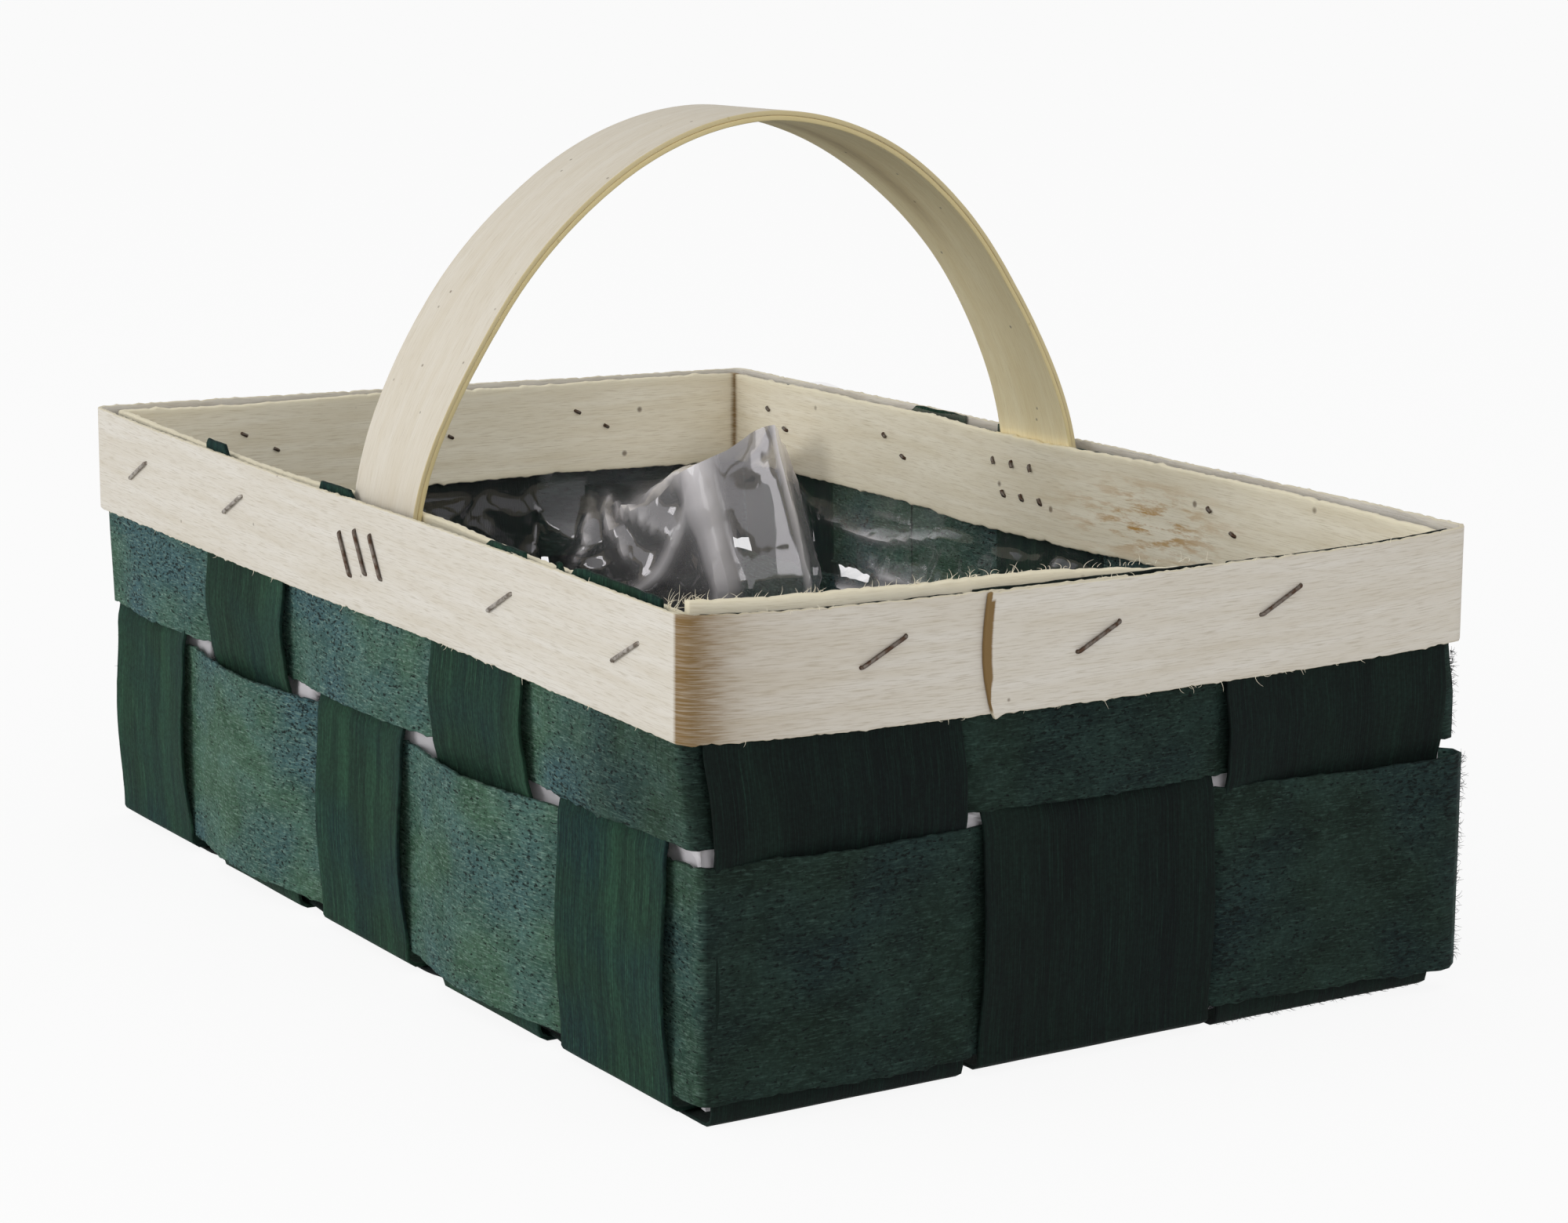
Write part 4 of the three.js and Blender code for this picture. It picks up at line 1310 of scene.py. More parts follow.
        board = Board(route.length, hi.z - lo.z, self.inner_thickness, *self.inner_cell,
                      softening_share=0.22)
        strip = Strip("inner_band_veneer", board, route, lo.z, self.inner_wear, SEEDS["inner_band"],
                      paints={"stain": stain, "rust": rust}, upper_edge=upper_edge, bleed=0.7,
                      relief=0.3 * MM, relief_size=16 * MM)
        put_piece(strip.bend(), self.materials["inner"], ["inner_band"])


@dataclass
class Handle:
    """The steamed arch: two plies glued face to face, a little skewed and twisted."""

    wall: Wall
    materials: Materials
    ply: float = 1.3 * MM
    glue: float = 0.1 * MM
    width: float = 34 * MM
    foot_drop: float = 27 * MM
    spring_drop: float = 10 * MM
    roundness: float = 1.86
    centre_x: float = 2.5 * MM
    skew: float = 17 * MM
    twists: tuple[Triple, ...] = (
        (0.0, math.radians(5.5), math.radians(5)), (0.0, math.radians(-4), math.radians(5)))
    twist_from: float = 0.5
    leans: tuple[tuple[float, ...], ...] = (mm(-3.4, 3.6, 1.4), mm(4.6, -1.2, 1.4))
    lean_from: float = 0.75
    middle_share: float = 0.55
    leg_steps: int = 8
    arch_steps: int = 180
    streak_strength: float = 0.45
    streak_middle: float = 0.62
    streak_width: float = 4 * MM
    streak_run: Pair = (0.5, 0.78)
    streak_ramp: float = 0.1
    cell: Pair = mm(2.0, 2.4)
    glue_cell: Pair = mm(2.0, 8)
    wear: EdgeWear = EdgeWear(wander=0.25 * MM, wander_length=60 * MM, tear=0.08 * MM)
    glue_wear: EdgeWear = EdgeWear(wander=0.1 * MM, wander_length=20 * MM, tear=0.1 * MM)
    half_span: float = field(init=False)
    spring: float = field(init=False)
    rise: float = field(init=False)

    def __post_init__(self) -> None:
        """Reads the arch's span and rise from the frame."""
        _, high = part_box("handle_outer_ply")
        self.half_span = high.y
        self.spring = self.wall.band_top - self.spring_drop
        self.rise = high.z - self.spring

    def arch(self, inward: float) -> Route:
        """Draws the middle line of a ply that lies this far in from the arch's outer face."""
        span, rise = self.half_span - inward, self.rise - inward
        foot, spring = self.wall.band_top - self.foot_drop, self.spring
        legs = self.leg_steps
        points = [Vector((0, -span, blend(foot, spring, i / legs))) for i in range(legs)]
        for i in range(self.arch_steps + 1):
            angle = math.pi * i / self.arch_steps
            c, s = math.cos(angle), math.sin(angle)
            y = -span * math.copysign(abs(c) ** (2 / self.roundness), c)
            points.append(Vector((0, y, spring + rise * max(s, 0.0) ** (2 / self.roundness))))
        points += [Vector((0, span, blend(spring, foot, i / legs))) for i in range(1, legs + 1)]
        return Route(points, Vector((-1, 0, 0)))

    def along_leg(self, point: Vector, legs: tuple[tuple[float, ...], ...], bend: float) -> float:
        """Gives a value that changes from each foot to the middle of its leg and on to the crown."""
        share = min(max(point.z - self.spring, 0.0) / self.rise, 1.0)
        to_middle, to_crown = ease(share / self.middle_share), ease((share - bend) / (1 - bend))
        values = [blend(blend(foot, middle, to_middle), crown, to_crown) for foot, middle, crown in legs]
        return blend(values[0], values[1], ease(point.y / self.half_span + 0.5))

    def settle(self, point: Vector) -> Vector:
        """Skews, bends and twists a point of the straight arch to its place."""
        turn = self.along_leg(point, self.twists, self.twist_from)
        centre = self.centre_x - (self.skew / 2) * (point.y / self.half_span)
        centre += self.along_leg(point, self.leans, self.lean_from)
        x = point.x
        return Vector((centre + x * math.cos(turn), point.y + x * math.sin(turn), point.z))

    def build(self) -> None:
        """Makes both plies and the glue between them."""
        self.layer("handle_outer_ply", self.ply / 2)
        self.layer("handle_inner_ply", self.ply * 1.5 + self.glue)
        self.glue_line()

    def layer(self, name: str, inward: float) -> None:
        """Bends one ply and puts it in place of its solid."""
        route = self.arch(inward)
        inner = name == "handle_inner_ply"

        def stain(u: float, v: float, depth: float, point: Vector) -> float:
            if not inner or depth >= 0:
                return 0.0
            streak = math.exp(-((v - self.streak_middle * self.width) / self.streak_width) ** 2)
            along = u / route.length
            start, end = self.streak_run
            streak *= self.streak_strength
            return streak * ease((along - start) / self.streak_ramp) * ease((end - along) / self.streak_ramp)

        board = Board(route.length, self.width, self.ply, *self.cell, softening_share=0.2)
        strip = Strip(name + "_veneer", board, route, -self.width / 2, self.wear, SEEDS[name],
                      lean=False, after=self.settle, relief=0.05 * MM, paints={"stain": stain})
        # The inner ply's finish is yellower wood painted lighter, as painted bounce light under the arch.
        put_piece(strip.bend(), self.materials["under" if inner else "handle"], [name])

    def glue_line(self) -> None:
        """Makes the thin line of glue that shows between the plies."""
        route = self.arch(self.ply + self.glue / 2)
        width = self.width - 0.5 * MM
        board = Board(route.length, width, self.glue + 0.04 * MM, *self.glue_cell, softening_share=0.1)
        strip = Strip("handle_glue_line", board, route, -width / 2, self.glue_wear,
                      SEEDS["handle_glue_line"], lean=False, after=self.settle, relief=0.0)
        put_piece(strip.bend(), self.materials["glue"])


@dataclass(frozen=True)
class Crease:
    """A straight fold in the film, between two places on one side's wall.

    Places are given along the side and up. The fold stands into the basket by its height.
    """

    side: Side
    start: Pair
    end: Pair
    height: float
    width: float
    sag: float = 0.0
    shine: float = 0.8
    sharpness: float = 1.4
    end_share: float = 0.1

    def at(self, along: float, z: float) -> float:
        """Gives how near its crest a place on its wall lies, from 0, off the fold, to 1."""
        (x0, z0), (x1, z1) = self.start, self.end
        dx, dz = x1 - x0, z1 - z0
        share = min(max(((along - x0) * dx + (z - z0) * dz) / (dx * dx + dz * dz), 0.0), 1.0)
        level = z0 + dz * share - self.sag * 4 * share * (1 - share)
        away = math.hypot(along - x0 - dx * share, z - level) / self.width
        if away >= 1:
            return 0.0
        rise = math.sin(math.pi * (self.end_share + (1 - 2 * self.end_share) * share))
        return (1 - away) ** self.sharpness * rise


@dataclass
class FilmLiner:
    """The loose film: clamped behind the inner band, with a standing pleat in the back left corner."""

    wall: Wall
    materials: Materials
    cell: float = 2.0 * MM
    row: float = 3.2 * MM
    fine_row: float = 1.4 * MM
    offset: float = -1.6 * MM
    floor: float = 3.2 * MM
    foot: float = 58 * MM
    clamp: float = 86 * MM
    edge: float = 118.5 * MM
    far_edge: float = 3.2 * MM
    back_run: float = 45 * MM
    left_run: float = 75 * MM
    left_curve: float = 1.5
    peak_in: Triple = mm(55, 21, 110)
    foot_in: Triple = mm(67, 17, 61)
    foot_opening: float = 0.9
    floor_in: Pair = mm(50, 14)
    floor_run: Pair = mm(70, 90)
    leaf: Triple = mm(-15, -14, 97)
    leaf_run: float = 20 * MM
    left_fold: float = 25 * MM
    left_fall: float = 13 * MM
    peak_share: float = 0.12
    foot_share: float = 0.3
    fold_height: float = 5 * MM
    fold_width: float = 4 * MM
    haze_pull: float = 40 * MM
    leaf_haze: float = 1.3
    leaf_band: float = 10 * MM
    face_haze: float = 0.32
    ridge_haze: float = 1.35
    ridge_width: float = 8 * MM
    spread_haze: float = 0.36
    tuck: float = 2.8 * MM
    tuck_height: float = 14 * MM
    wall_haze: float = 0.85
    gap_reach: float = 13 * MM
    hazed: Pair = mm(53, 75)
    haze_ramp: float = 6 * MM
    crease_count: int = 90
    crease_length: Pair = mm(14, 48)
    crease_height: Pair = mm(1.0, 3.0)
    crease_width: Pair = mm(2.5, 6)
    crease_shine: Pair = (0.0, 0.3)
    crumple: float = 1.3 * MM
    crumple_size: float = 17 * MM
    crumple_range: Pair = (1.2, 2.4)
    fine_size: float = 0.4
    fine_share: float = 0.5
    clamp_ramp: float = 5 * MM
    ragged_size: float = 26 * MM
    near_share: float = 0.15
    seed: int = 7
    flat_size: Pair = (0.45, 0.57)
    shown: tuple[Crease, ...] = (
        Crease(Side.BACK, mm(40, 87), mm(124, 82), *mm(4.5, 4.0), sag=7 * MM),
        Crease(Side.BACK, mm(52, 88), mm(112, 89), *mm(2.2, 3.0), sag=3 * MM),
        Crease(Side.BACK, mm(70, 61), mm(106, 61), *mm(11, 5.5)),
        Crease(Side.BACK, mm(45, 66), mm(98, 70), *mm(3.5, 6.0), sag=2 * MM),
        Crease(Side.BACK, mm(-8, 74), mm(22, 71), *mm(3.0, 5.0), sag=3 * MM),
        Crease(Side.LEFT, mm(-62, 87), mm(-36, 79), *mm(3.5, 3.0), sag=4 * MM),
        Crease(Side.LEFT, mm(-54, 88), mm(-60, 62), *mm(3.5, 3.0)),
        Crease(Side.LEFT, mm(-54, 88), mm(-72, 68), *mm(3.5, 3.0)),
        Crease(Side.LEFT, mm(-54, 88), mm(-40, 60), *mm(3.0, 3.0)),
        Crease(Side.LEFT, mm(-92, 84), mm(-66, 80), *mm(4.0, 6.0), sag=3 * MM),
        Crease(Side.LEFT, mm(-84, 76), mm(-46, 50), *mm(4.0, 4.0)),
    )

    @property
    def half_x(self) -> float:
        """Half the film tub's length."""
        return self.wall.half_length + self.offset

    @property
    def half_y(self) -> float:
        """Half the film tub's width."""
        return self.wall.half_width + self.offset

    def tub(self) -> bmesh.types.BMesh:
        """Makes the film as a plain open tub, with finer rows where the pleat will stand."""
        mesh = bmesh.new()
        bmesh.ops.create_grid(mesh, x_segments=round(2 * self.half_x / self.cell),
                              y_segments=round(2 * self.half_y / self.cell), size=0.5)
        size = Matrix.Diagonal((2 * self.half_x, 2 * self.half_y, 1.0, 1.0))
        bmesh.ops.transform(mesh, matrix=Matrix.Translation((0, 0, self.floor)) @ size, verts=mesh.verts[:])
        ring = [e for e in mesh.edges if e.is_boundary]
        for low, high, row in ((self.floor, self.foot, self.row), (self.foot, self.clamp, self.fine_row),
                               (self.clamp, self.edge, self.row)):
            steps = round((high - low) / row)
            for _ in range(steps):
                made = bmesh.ops.extrude_edge_only(mesh, edges=ring)["geom"]
                verts = [g for g in made if isinstance(g, bmesh.types.BMVert)]
                ring = [g for g in made if isinstance(g, bmesh.types.BMEdge)]
                bmesh.ops.translate(mesh, vec=(0, 0, (high - low) / steps), verts=verts)
        bmesh.ops.recalc_face_normals(mesh, faces=mesh.faces[:])
        bmesh.ops.reverse_faces(mesh, faces=mesh.faces[:])
        return mesh

    def pleated(self, place: Vector) -> Vector:
        """Moves a point of the plain tub to where the pleat holds it.

        Args:
            place: the point on the tub's wall or floor.

        Returns:
            The point on the pleat, or the same point away from it.
        """
        dx, dy = max(place.x + self.half_x, 0.0), max(self.half_y - place.y, 0.0)
        down = (self.clamp - place.z) / (self.clamp - self.floor)
        reach = max(1 - dx / self.floor_run[0] - (dy / self.floor_run[1]) ** 1.2, 0.0)
        if down <= 0 or reach <= 0:
            return place
        on_floor = Vector((dx + reach * self.floor_in[0], dy + reach * self.floor_in[1], self.floor))
        nominal = Vector((dx, dy, place.z))
        if place.z <= self.floor + CLOSE:
            moved = on_floor
        else:
            peak = self.held(dx, dy, place.z, self.peak_in, 1.0)
            foot = self.held(dx, dy, place.z, self.foot_in, self.foot_opening)
            if down < self.peak_share:
                moved = nominal.lerp(peak, (down / self.peak_share) ** 0.9)
            elif down < self.foot_share:
                share = (down - self.peak_share) / (self.foot_share - self.peak_share)
                moved = peak.lerp(foot, share)
            else:
                share = (down - self.foot_share) / (1 - self.foot_share)
                moved = foot.lerp(on_floor, share)
                moved.z = blend(foot.z, self.floor, share)
        return Vector((moved.x - self.half_x, self.half_y - moved.y, moved.z))

    def held(self, dx: float, dy: float, z: float, pull_in: Triple,
             leaf: float) -> Vector:
        """Gives where one row of the pleat holds a column of the film.

        Args:
            dx: the column's distance from the left wall.
            dy: its distance from the back wall.
            z: its height on the plain tub.
            pull_in: the pleat's front fold in that row, in from the corner and up.
            leaf: how far the leaf behind the front fold is opened in that row.

        Returns:
            The place, in from the corner and up.
        """
        in_x, in_y, top = pull_in
        if dx > dy:
            back_x, back_y, back_top = self.leaf
            folded = Vector((in_x, in_y, top))
            drop = (self.peak_in[2] - back_top) * (1.0 if top > self.clamp else 0.0)
            behind = Vector((in_x + back_x * leaf, max(in_y + back_y * leaf, 1.0 * MM), top - drop))
            beside = Vector((self.back_run, 0.0, z))
            if dx < self.leaf_run:
                return folded.lerp(behind, dx / self.leaf_run)
            if dx < self.back_run:
                return behind.lerp(beside, (dx - self.leaf_run) / (self.back_run - self.leaf_run))
            return Vector((dx, dy, z))
        run = dy / self.left_run
        pull = max(1 - run ** self.left_curve, 0.0)
        ridge = self.fold_height * max(1 - abs(dy - self.left_fold) / self.fold_width, 0.0) ** 1.2
        fallen = top - (self.left_fall * (dy / self.left_fold) ** 1.4 if top > self.clamp else 0.0)
        share = max(1 - run ** 3, 0.0)
        return Vector((pull * in_x + ridge * 0.75, dy + pull * in_y + ridge * 0.65, blend(z, fallen, share)))

    def creases(self) -> list[Crease]:
        """Lists the folds: those that show, and the rest strewn over the walls."""
        draw = random.Random(self.seed)
        made = list(self.shown)
        for _ in range(self.crease_count):
            side = draw.choice(list(Side))
            reach = self.wall.along(side) - 8 * MM
            start = (draw.uniform(-reach, reach), draw.uniform(20 * MM, self.clamp))
            turn, length = draw.uniform(0, math.tau), draw.uniform(*self.crease_length)
            end = (start[0] + length * math.cos(turn), start[1] + length * math.sin(turn))
            made.append(Crease(side, start, end, draw.uniform(*self.crease_height),
                               draw.uniform(*self.crease_width), shine=draw.uniform(*self.crease_shine)))
        return made

    def body_haze(self, moved: Vector, place: Vector) -> float:
        """How milky the pleat is: less between its folds, and most on the folds themselves."""
        dx, dy = place.x + self.half_x, self.half_y - place.y
        pulled = ease((moved - place).length / self.haze_pull) * ease((place.z - self.foot / 2) / self.foot)
        if place.z <= self.floor + CLOSE:
            return 0.0
        on_front = place.y < 1 * MM - self.half_y
        if on_front or place.x > self.half_x - 1 * MM:
            low, high = self.hazed
            row, along = (self.wall.cross, place.x) if on_front else (self.wall.long, place.y)
            edges = [row[0][0] - row[0][1]] + [middle + half for middle, half in row]
            away = min(abs(along - edge) for edge in edges)
            level = ease((place.z - low) / self.haze_ramp) * ease((high - place.z) / self.haze_ramp)
            return self.wall_haze * level * ease((self.gap_reach - away) / self.haze_ramp)
        if dx > dy:
            return pulled * max(self.leaf_haze * max(1 - dx / self.leaf_band, 0.0), self.face_haze)
        ridge = max(1 - abs(dy - self.left_fold) / self.ridge_width, 0.0)
        spread = self.face_haze if dy < self.left_fold else self.spread_haze
        return pulled * max(self.ridge_haze * ridge, spread)

    def crumple_film(self, mesh: bmesh.types.BMesh, plain: list[Vector]) -> None:
        """Folds and crumples the free film inwards.

        Args:
            mesh: the film, already pleated.
            plain: where each of its points lay on the plain tub.
        """
        mesh.normal_update()
        creases = self.creases()
        milky = mesh.verts.layers.float.new("haze")
        normals = [vert.normal.copy() for vert in mesh.verts]
        for vert, normal, place in zip(mesh.verts, normals, plain):
            vert[milky] = self.body_haze(vert.co, place)
            free = ease((self.clamp - place.z) / self.clamp_ramp)
            if free <= 0:
                continue
            ridges = abs(noise.noise(vert.co / self.crumple_size))
            fine = vert.co / (self.crumple_size * self.fine_size) + Vector((5, 3, 9))
            ridges += self.fine_share * abs(noise.noise(fine))
            flat_height, fall = self.crumple_range
            height = self.crumple * (flat_height - fall * ridges)
            if place.z > self.floor + CLOSE:
                for side in Side:
                    out = side.outward()
                    if place.dot(out) > self.half_of(side) - CLOSE:
                        along = place.dot(side.running())
                        for crease in creases:
                            crest = crease.at(along, place.z) if crease.side is side else 0.0
                            height += crease.height * crest
                            vert[milky] += crease.shine * crest ** 3
                        break
            vert.co += normal * max(height, -0.1 * MM) * free

    def half_of(self, side: Side) -> float:
        """How far this side's film stands from the basket's middle."""
        return self.half_y if side.is_long else self.half_x

    def build(self) -> None:
        """Makes the film: a plain tub that is pleated, then folded and crumpled."""
        mesh = self.tub()
        plain = [vert.co.copy() for vert in mesh.verts]
        for vert in mesh.verts:
            vert.co = self.pleated(vert.co)
        self.crumple_film(mesh, plain)
        for vert, place in zip(mesh.verts, plain):
            if place.z > self.edge - 0.1 * MM:
                ragged = 0.5 + noise.noise(Vector((place.x / self.ragged_size, place.y, 2.0)))
                far = 1.0 if place.y > self.half_y - 0.5 * MM else self.near_share
                vert.co.z += self.far_edge * max(ragged, 0.0) * far
            tuck = self.tuck * ease((self.tuck_height - place.z) / self.tuck_height)
            vert.co.x *= 1 - tuck / self.half_x
            vert.co.y *= 1 - tuck / self.half_y
            vert.co += LEAN.shift(vert.co)
            vert.co.z = max(vert.co.z, self.floor - 0.1 * MM)
        piece = put_piece(finished(mesh, "film_liner"), self.materials["film"], ["liner"])
        piece.data.shade_smooth()


@dataclass
class Staples:
    """Bent wires through the bands: one for each staple of the frame, in its place."""

    materials: Materials
    crown: float = 13.5 * MM
    tight_crown: float = 12.2 * MM
    wire: float = 1.05 * MM
    clearance: float = 0.3 * MM
    node_wire: float = 1.1 * MM
    clinch: float = 1.9 * MM
    sunk: float = 0.25 * MM
    slope: float = math.radians(27)
    handle_slope: float = math.radians(60)
    bend_share: float = 0.75
    bend_steps: int = 4
    settled: tuple[tuple[str, float], ...] = (
        ("staple_front_1", -1.1 * MM), ("staple_right_1", 1.2 * MM), ("staple_right_2", -0.9 * MM),
        ("staple_right_3", 1.9 * MM), ("staple_front_handle_1", -1.2 * MM),
        ("staple_front_handle_2", 0.6 * MM), ("staple_front_handle_3", 0.7 * MM))

    def build(self, names: Iterable[str]) -> None:
        """Makes every staple, by the names of their solids."""
        for name in sorted(names):
            self.staple(name)

    def staple(self, name: str) -> None:
        """Makes one staple from the box of its solid."""
        side = Side[name.split("_")[1].upper()]
        lo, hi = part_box(name)
        middle = (lo + hi) / 2
        out = side.outward()
        reach = abs((hi - lo).dot(out)) / 2
        outer = middle.dot(out) + reach - self.node_wire / 2 - self.clearance - self.sunk + self.wire / 4
        face = out * outer
        back = out * (middle.dot(out) - reach + self.node_wire / 2 + self.clearance)
        level = middle - out * middle.dot(out)
        along = side.running()
        turn, half = self.slope, self.crown / 2
        if "handle" in name:
            turn = -self.handle_slope if side is Side.FRONT else self.handle_slope
            half = self.tight_crown / 2
        crown = along * math.cos(turn) + UP * math.sin(turn)
        shift = LEAN.shift(middle)
        level = level + out * shift.dot(out) + UP * (shift.z + dict(self.settled).get(name, 0.0))
        path = [level + back + crown * (-half + self.clinch), level + back + crown * -half,
                level + face + crown * -half, level + face + crown * half,
                level + back + crown * half, level + back + crown * (half - self.clinch)]
        piece = self.bent_wire(name + "_wire", path)
        bright = side is Side.FRONT and "handle" not in name
        put_piece(piece, self.materials["bright_wire" if bright else "wire"], [name])

    def bent_wire(self, name: str, path: list[Vector]) -> bpy.types.Mesh:
        """Bends a round wire along a path with rounded corners and gives its mesh."""
        curve = bpy.data.curves.new(name, "CURVE")
        curve.dimensions = "3D"
        points: list[Vector] = [path[0]]
        radius = self.wire * self.bend_share
        for before, here, after in zip(path, path[1:], path[2:]):
            to_before, to_after = (before - here).normalized(), (after - here).normalized()
            start, end = here + to_before * radius, here + to_after * radius
            for i in range(self.bend_steps + 1):
                t = i / self.bend_steps
                points.append(start * (1 - t) ** 2 + here * 2 * t * (1 - t) + end * t ** 2)
        points.append(path[-1])
        spline = curve.splines.new("POLY")
        spline.points.add(len(points) - 1)
        for point, place in zip(spline.points, points):
            point.co = (*place, 1.0)
        curve.bevel_depth = self.wire / 2
        curve.bevel_resolution = 2
        curve.use_fill_caps = True
        return mesh_of(curve)


@dataclass(frozen=True)
class Fringe:
    """A run of loose fibres along one edge, from one place to another, before the rim leans."""

    start: Triple
    end: Triple
    heading: Triple
    count: int
    length: Pair
    spread: float = 0.7


@dataclass
class Fibres:
    """The loose fibres on the torn edges: pale ones on the bands, and dyed ones on the splints."""

    wall: Wall
    materials: Materials
    thickness: float = 0.16 * MM
    taper: float = 0.75
    scatter: float = 0.5
    curl: float = 0.35
    segments: int = 5
    seed: int = 23

    def build(self) -> None:
        """Makes one piece of pale fibres, and one of dyed fibres for each shade; the darker one is painted
        shade.
        """
        w = self.wall
        face = w.half_width + 2.6 * MM
        end = w.half_length + 2.6 * MM
        low, high = w.band_bottom + 0.4 * MM, w.band_top - 0.4 * MM
        inner, top = w.half_length - 3.2 * MM, w.band_top + 2.2 * MM
        short, middling, long = mm(0.8, 2.0), mm(1.5, 3.5), mm(2.5, 6.0)
        pale = [
            Fringe((end, -12 * MM, low), (end, 62 * MM, low), (0.1, 0.5, -0.5), 16, middling),
            Fringe((end, -100 * MM, low), (end, 108 * MM, low), (0.2, 0.2, -1), 14, short),
            Fringe((end, -108 * MM, high), (end, 108 * MM, high), (-0.3, -0.4, 1), 20, short),
            Fringe((inner, -104 * MM, top), (inner, -15 * MM, top), (-0.2, 0.6, 0.6), 60, middling),
            Fringe((inner, -15 * MM, top), (inner, 40 * MM, high), (-0.2, 0.6, 0.6), 24, middling),
            Fringe((inner - 2 * MM, -107 * MM, top - 1 * MM), (inner, -102 * MM, top),
                   (-0.4, -0.3, 0.9), 30, middling, 1.1),
            Fringe((inner - 7 * MM, -109 * MM, high), (inner - 2 * MM, -109 * MM, high),
                   (0.3, 0.1, 1), 12, long, 0.9),
            Fringe((-168 * MM, -face, high), (168 * MM, -face, high), (0.3, 0.2, 1), 26, short),
            Fringe((-168 * MM, -face, low), (168 * MM, -face, low), (0.5, -0.2, -1), 26, short),
        ]
        foot = w.lower_bottom + 0.6 * MM
        dyed_and_shaded = [
            Fringe((-150 * MM, -face + 2 * MM, foot), (155 * MM, -face + 2 * MM, foot),
                   (0.3, -0.2, -1), 120, short),
            Fringe((-165.4 * MM, -face + 1.5 * MM, 8 * MM), (-165.4 * MM, -face + 1.5 * MM, 60 * MM),
                   (-1, 0, 0.2), 30, short),
        ]
        side, strip_edge = w.half_length + 0.5 * MM, w.half_length - 3 * MM
        deep = [
            Fringe((end - 1 * MM, -104 * MM, foot), (end, 112 * MM, foot), (0.2, 0.3, -1), 60, short),
            Fringe((strip_edge, 39 * MM, 0.8 * MM), (strip_edge, 104 * MM, 0.8 * MM),
                   (1, 0.3, -0.05), 220, middling, 0.4),
            Fringe((side - 1 * MM, 110.2 * MM, 66 * MM), (side - 1 * MM, 110.2 * MM, 88 * MM),
                   (0.3, 1, 0), 90, mm(1.4, 3.0)),
            Fringe((end - 1 * MM, 112.8 * MM, 7 * MM), (end - 1 * MM, 112.8 * MM, 60 * MM),
                   (0.3, 1, 0), 130, mm(1.4, 3.0)),
        ]
        draw = random.Random(self.seed)
        self.piece("pale_fibres", pale, "inner", "band_veneer", {}, draw)
        self.piece("dyed_fibres", dyed_and_shaded, "stake", "stake_veneer", {"dye": 0.35}, draw)
        # Painted shade: the dark fibres on the right end and the back right corner, which stand in shade, are
        # near black like the long stakes.
        self.piece("dark_fibres", deep, "stake", "stake_veneer", {"dye": 0.95}, draw)

    def piece(self, name: str, fringes: list[Fringe], finish: str, slot: str, paints: dict[str, float],
              draw: random.Random) -> None:
        """Makes all the fibres of some fringes as one piece.

        Args:
            name: the piece's name.
            fringes: where the fibres grow.
            finish: the name of their material.
            slot: not used.
            paints: the attributes that the material reads, each the same over the whole piece.
            draw: the source of their scatter.
        """
        curve = bpy.data.curves.new(name, "CURVE")
        curve.dimensions = "3D"
        curve.bevel_depth = self.thickness / 2
        curve.bevel_resolution = 0
        for fringe in fringes:
            for _ in range(fringe.count):
                self.fibre(curve, fringe, draw)
        mesh = mesh_of(curve)
        for paint, value in paints.items():
            layer = mesh.attributes.new(paint, "FLOAT", "POINT")
            layer.data.foreach_set("value", [value] * len(mesh.vertices))
        put_piece(mesh, self.materials[finish])

    def fibre(self, curve: bpy.types.Curve, fringe: Fringe, draw: random.Random) -> None:
        """Draws one curled fibre, thinner towards its tip."""
        root = Vector(fringe.start).lerp(Vector(fringe.end), draw.random())
        scatter = Vector([draw.gauss(0, 1) for _ in range(3)]) * fringe.spread
        heading = (Vector(fringe.heading).normalized() + scatter * self.scatter).normalized()
        curl = Vector([draw.gauss(0, 1) for _ in range(3)]) * self.curl
        length = draw.uniform(*fringe.length)
        spline = curve.splines.new("POLY")
        spline.points.add(self.segments)
        place = root + LEAN.shift(root)
        for i, point in enumerate(spline.points):
            point.co = (place.x, place.y, max(place.z, self.thickness), 1.0)
            point.radius = 1 - self.taper * i / self.segments
            place = place + heading * (length / self.segments)
            heading = (heading + curl).normalized()


def mesh_of(curve: bpy.types.Curve) -> bpy.types.Mesh:
    """Turns a finished curve into a mesh of the same name and removes the curve."""
    name = curve.name
    holder = put_in_scene(name, curve)
    bpy.context.view_layer.update()
    shape = holder.evaluated_get(bpy.context.evaluated_depsgraph_get())
    mesh = bpy.data.meshes.new_from_object(shape)
    bpy.data.objects.remove(holder)
    bpy.data.curves.remove(curve)
    mesh.name = name
    return mesh


def looked_at_on(tree: Tree, path: bpy.types.Node) -> bpy.types.Node:
    """Gives 1 for light that goes straight to the camera or into a reflection, and 0 for the rest."""
    return add_node(tree, "ShaderNodeMath", {"operation": "MAXIMUM"},
                    {0: path.outputs["Is Camera Ray"], 1: path.outputs["Is Glossy Ray"]})


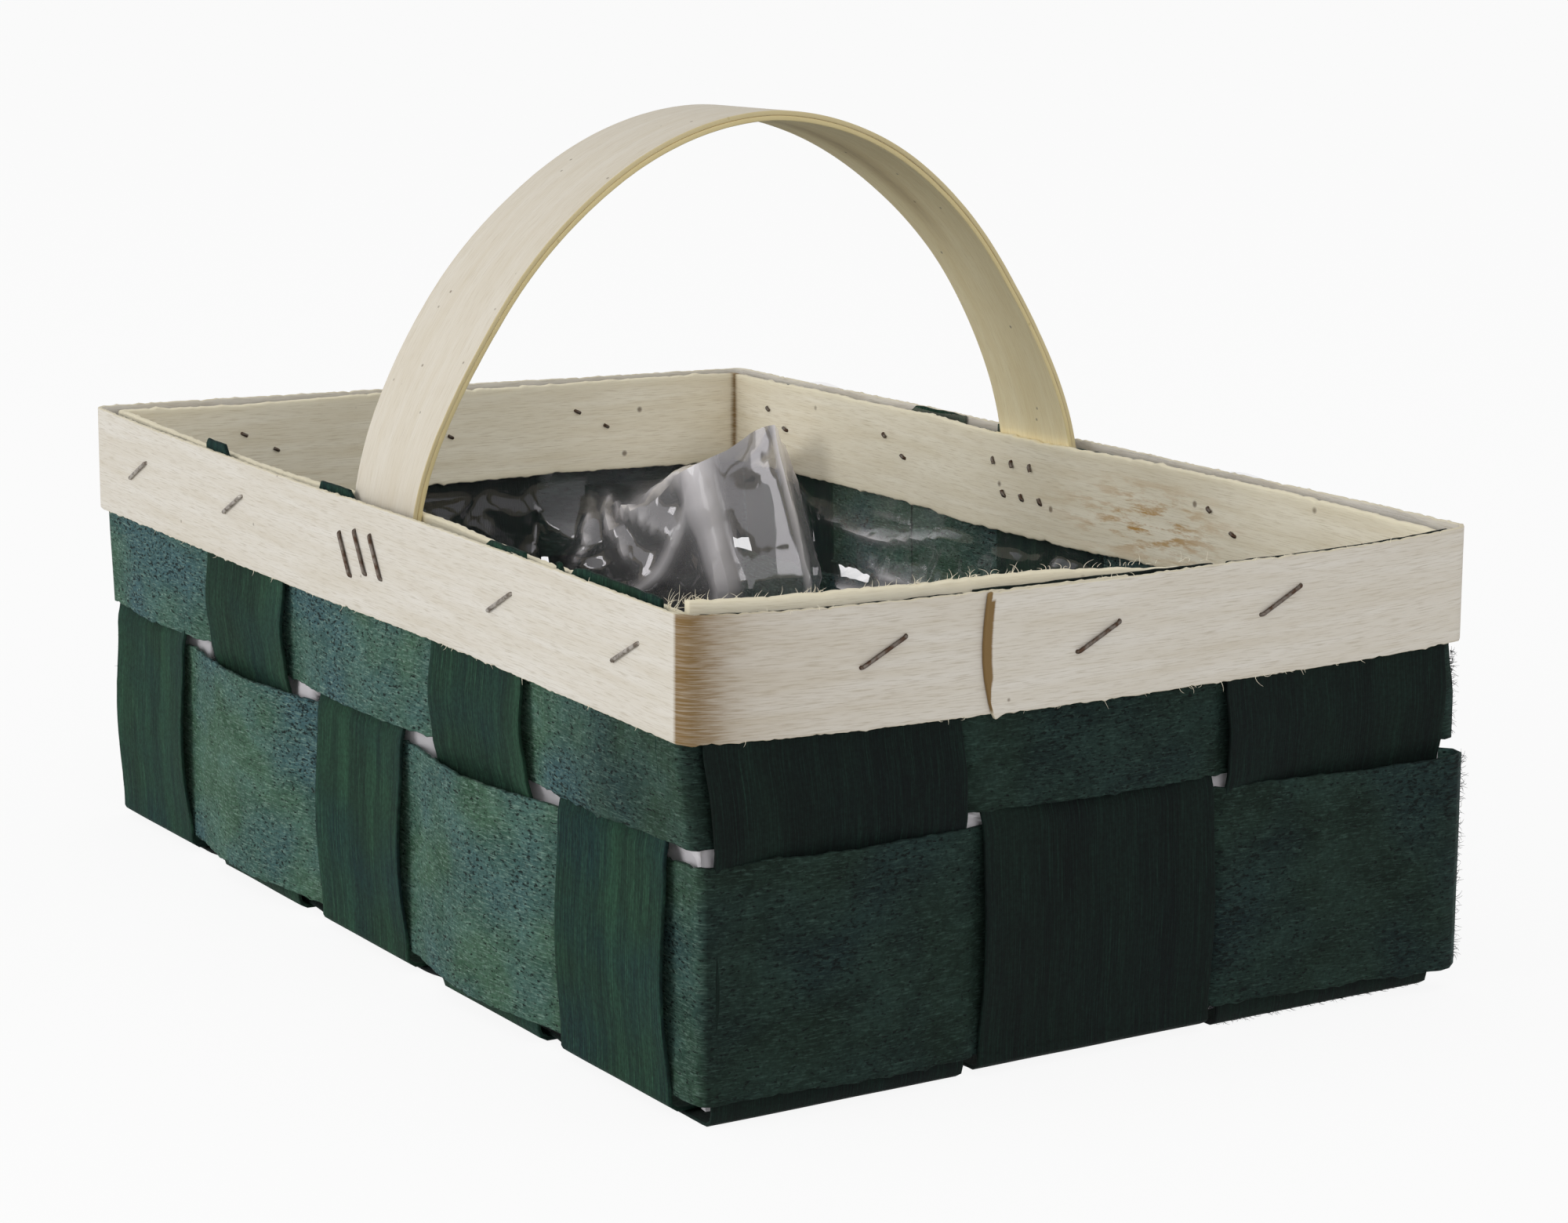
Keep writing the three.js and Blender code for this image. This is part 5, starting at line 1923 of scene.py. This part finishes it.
@dataclass
class Studio:
    """The camera, the pale floor and the soft light."""

    azimuth: float = math.radians(57.84)
    elevation: float = math.radians(11.17)
    roll: float = math.radians(0.23)
    target: Triple = (-85.55 * MM, 72.6 * MM, 57.5 * MM)
    distance: float = 1110.3 * MM
    image_width: float = 2000.0
    focal_pixels: float = 4630.0
    sensor: float = 36.0
    floor_size: float = 60.0
    world_strength: float = 0.58
    lamp_distance: float = 2.4
    lamp_size: float = 1.2
    lamp_target: Triple = (0, 0, 0.08)
    clip: Pair = (0.05, 200.0)
    paper: tuple[str, str] = ("#EAEAEA", "#FAFAFA")
    glow_share: float = 0.9
    key: Triple = (0.31, math.radians(-6), math.radians(16))
    fill: Triple = (0.165, math.radians(80), math.radians(18))

    def build(self) -> None:
        """Sets up the camera, the floor, the world and the lamps."""
        self.camera()
        self.floor()
        self.world()
        self.lamp("key_lamp", *self.key)
        self.lamp("fill_lamp", *self.fill)
        bpy.context.scene.view_settings.view_transform = "Standard"

    def camera(self) -> None:
        """Places the camera at the photograph's angle."""
        back = direction_to(self.azimuth, self.elevation)
        right = Vector((math.cos(self.azimuth), math.sin(self.azimuth), 0))
        up = back.cross(right)
        turned_right = right * math.cos(self.roll) + up * math.sin(self.roll)
        turned_up = up * math.cos(self.roll) - right * math.sin(self.roll)
        data = bpy.data.cameras.new("photo_camera")
        data.sensor_fit = "HORIZONTAL"
        data.sensor_width = self.sensor
        data.lens = self.sensor * self.focal_pixels / self.image_width
        data.clip_start, data.clip_end = self.clip
        camera = put_in_scene("photo_camera", data)
        place = Vector(self.target) + back * self.distance
        turn = Matrix((turned_right, turned_up, back)).transposed().to_4x4()
        camera.matrix_world = Matrix.Translation(place) @ turn
        bpy.context.scene.camera = camera

    def floor(self) -> None:
        """Lays the white floor, which the camera sees as nearly white with a soft shadow."""
        mesh = bmesh.new()
        bmesh.ops.create_grid(mesh, x_segments=1, y_segments=1, size=self.floor_size / 2)
        made = finished(mesh, "floor")
        material, tree = new_material("White paper floor")
        looked_at = looked_at_on(tree, add_node(tree, "ShaderNodeLightPath"))
        lit, seen_white = self.paper
        tone = add_node(tree, "ShaderNodeMix", {"data_type": "RGBA", 6: linear(lit), 7: linear(seen_white)},
                        {0: looked_at})
        paper = add_node(tree, "ShaderNodeBsdfDiffuse", {}, {"Color": tone.outputs[2]})
        glow = add_node(tree, "ShaderNodeEmission", {"Color": (1, 1, 1, 1), "Strength": 1.0})
        seen = add_node(tree, "ShaderNodeMath", {"operation": "MULTIPLY", 1: self.glow_share},
                        {0: looked_at})
        mixed = add_node(tree, "ShaderNodeMixShader", {},
                         {0: seen, 1: paper, 2: glow})
        add_node(tree, "ShaderNodeOutputMaterial", {}, {"Surface": mixed})
        made.materials.append(material)
        put_in_scene("floor", made)

    def world(self) -> None:
        """Makes the even light of the room, which looks white to the camera and in reflections."""
        world = bpy.data.worlds.new("Even studio light")
        world.use_nodes = True
        tree = world.node_tree
        tree.nodes.clear()
        path = add_node(tree, "ShaderNodeLightPath")
        plain, white = (add_node(tree, "ShaderNodeBackground", {"Color": (1, 1, 1, 1), "Strength": strength})
                        for strength in (self.world_strength, 1.0))
        through = add_node(tree, "ShaderNodeMath", {"operation": "MAXIMUM"},
                           {0: looked_at_on(tree, path), 1: path.outputs["Is Transmission Ray"]})
        mixed = add_node(tree, "ShaderNodeMixShader", {},
                         {0: through, 1: plain, 2: white})
        add_node(tree, "ShaderNodeOutputWorld", {}, {"Surface": mixed})
        bpy.context.scene.world = world

    def lamp(self, name: str, share: float, azimuth: float, elevation: float) -> None:
        """Hangs a large soft lamp.

        Args:
            name: the lamp's name.
            share: how bright a white sheet that faces it looks, from 0 to 1.
            azimuth: its direction round the basket, from the front long side towards the right.
            elevation: its angle above the floor.
        """
        data = bpy.data.lights.new(name, "AREA")
        data.shape = "SQUARE"
        data.size = self.lamp_size
        data.energy = share * math.pi ** 2 * self.lamp_distance ** 2
        lamp = put_in_scene(name, data)
        back = direction_to(azimuth, elevation)
        lamp.location = Vector(self.lamp_target) + back * self.lamp_distance
        lamp.rotation_mode = "QUATERNION"
        lamp.rotation_quaternion = (-back).to_track_quat("-Z", "Y")


def main(frame: dict) -> None:
    """Builds the basket's visible pieces round the frame, in order.
    """
    logging.basicConfig(level=logging.INFO, format="%(name)s: %(message)s")
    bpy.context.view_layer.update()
    Studio().build()
    materials = Finishes().make()
    wall = Wall.from_frame()
    WovenBody(wall, materials).build()
    RimBands(wall, materials).build()
    Handle(wall, materials).build()
    FilmLiner(wall, materials).build()
    Staples(materials).build(name for name in frame["nodes"] if name.startswith("staple_"))
    Fibres(wall, materials).build()


if __name__ == "__main__":
    main(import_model())
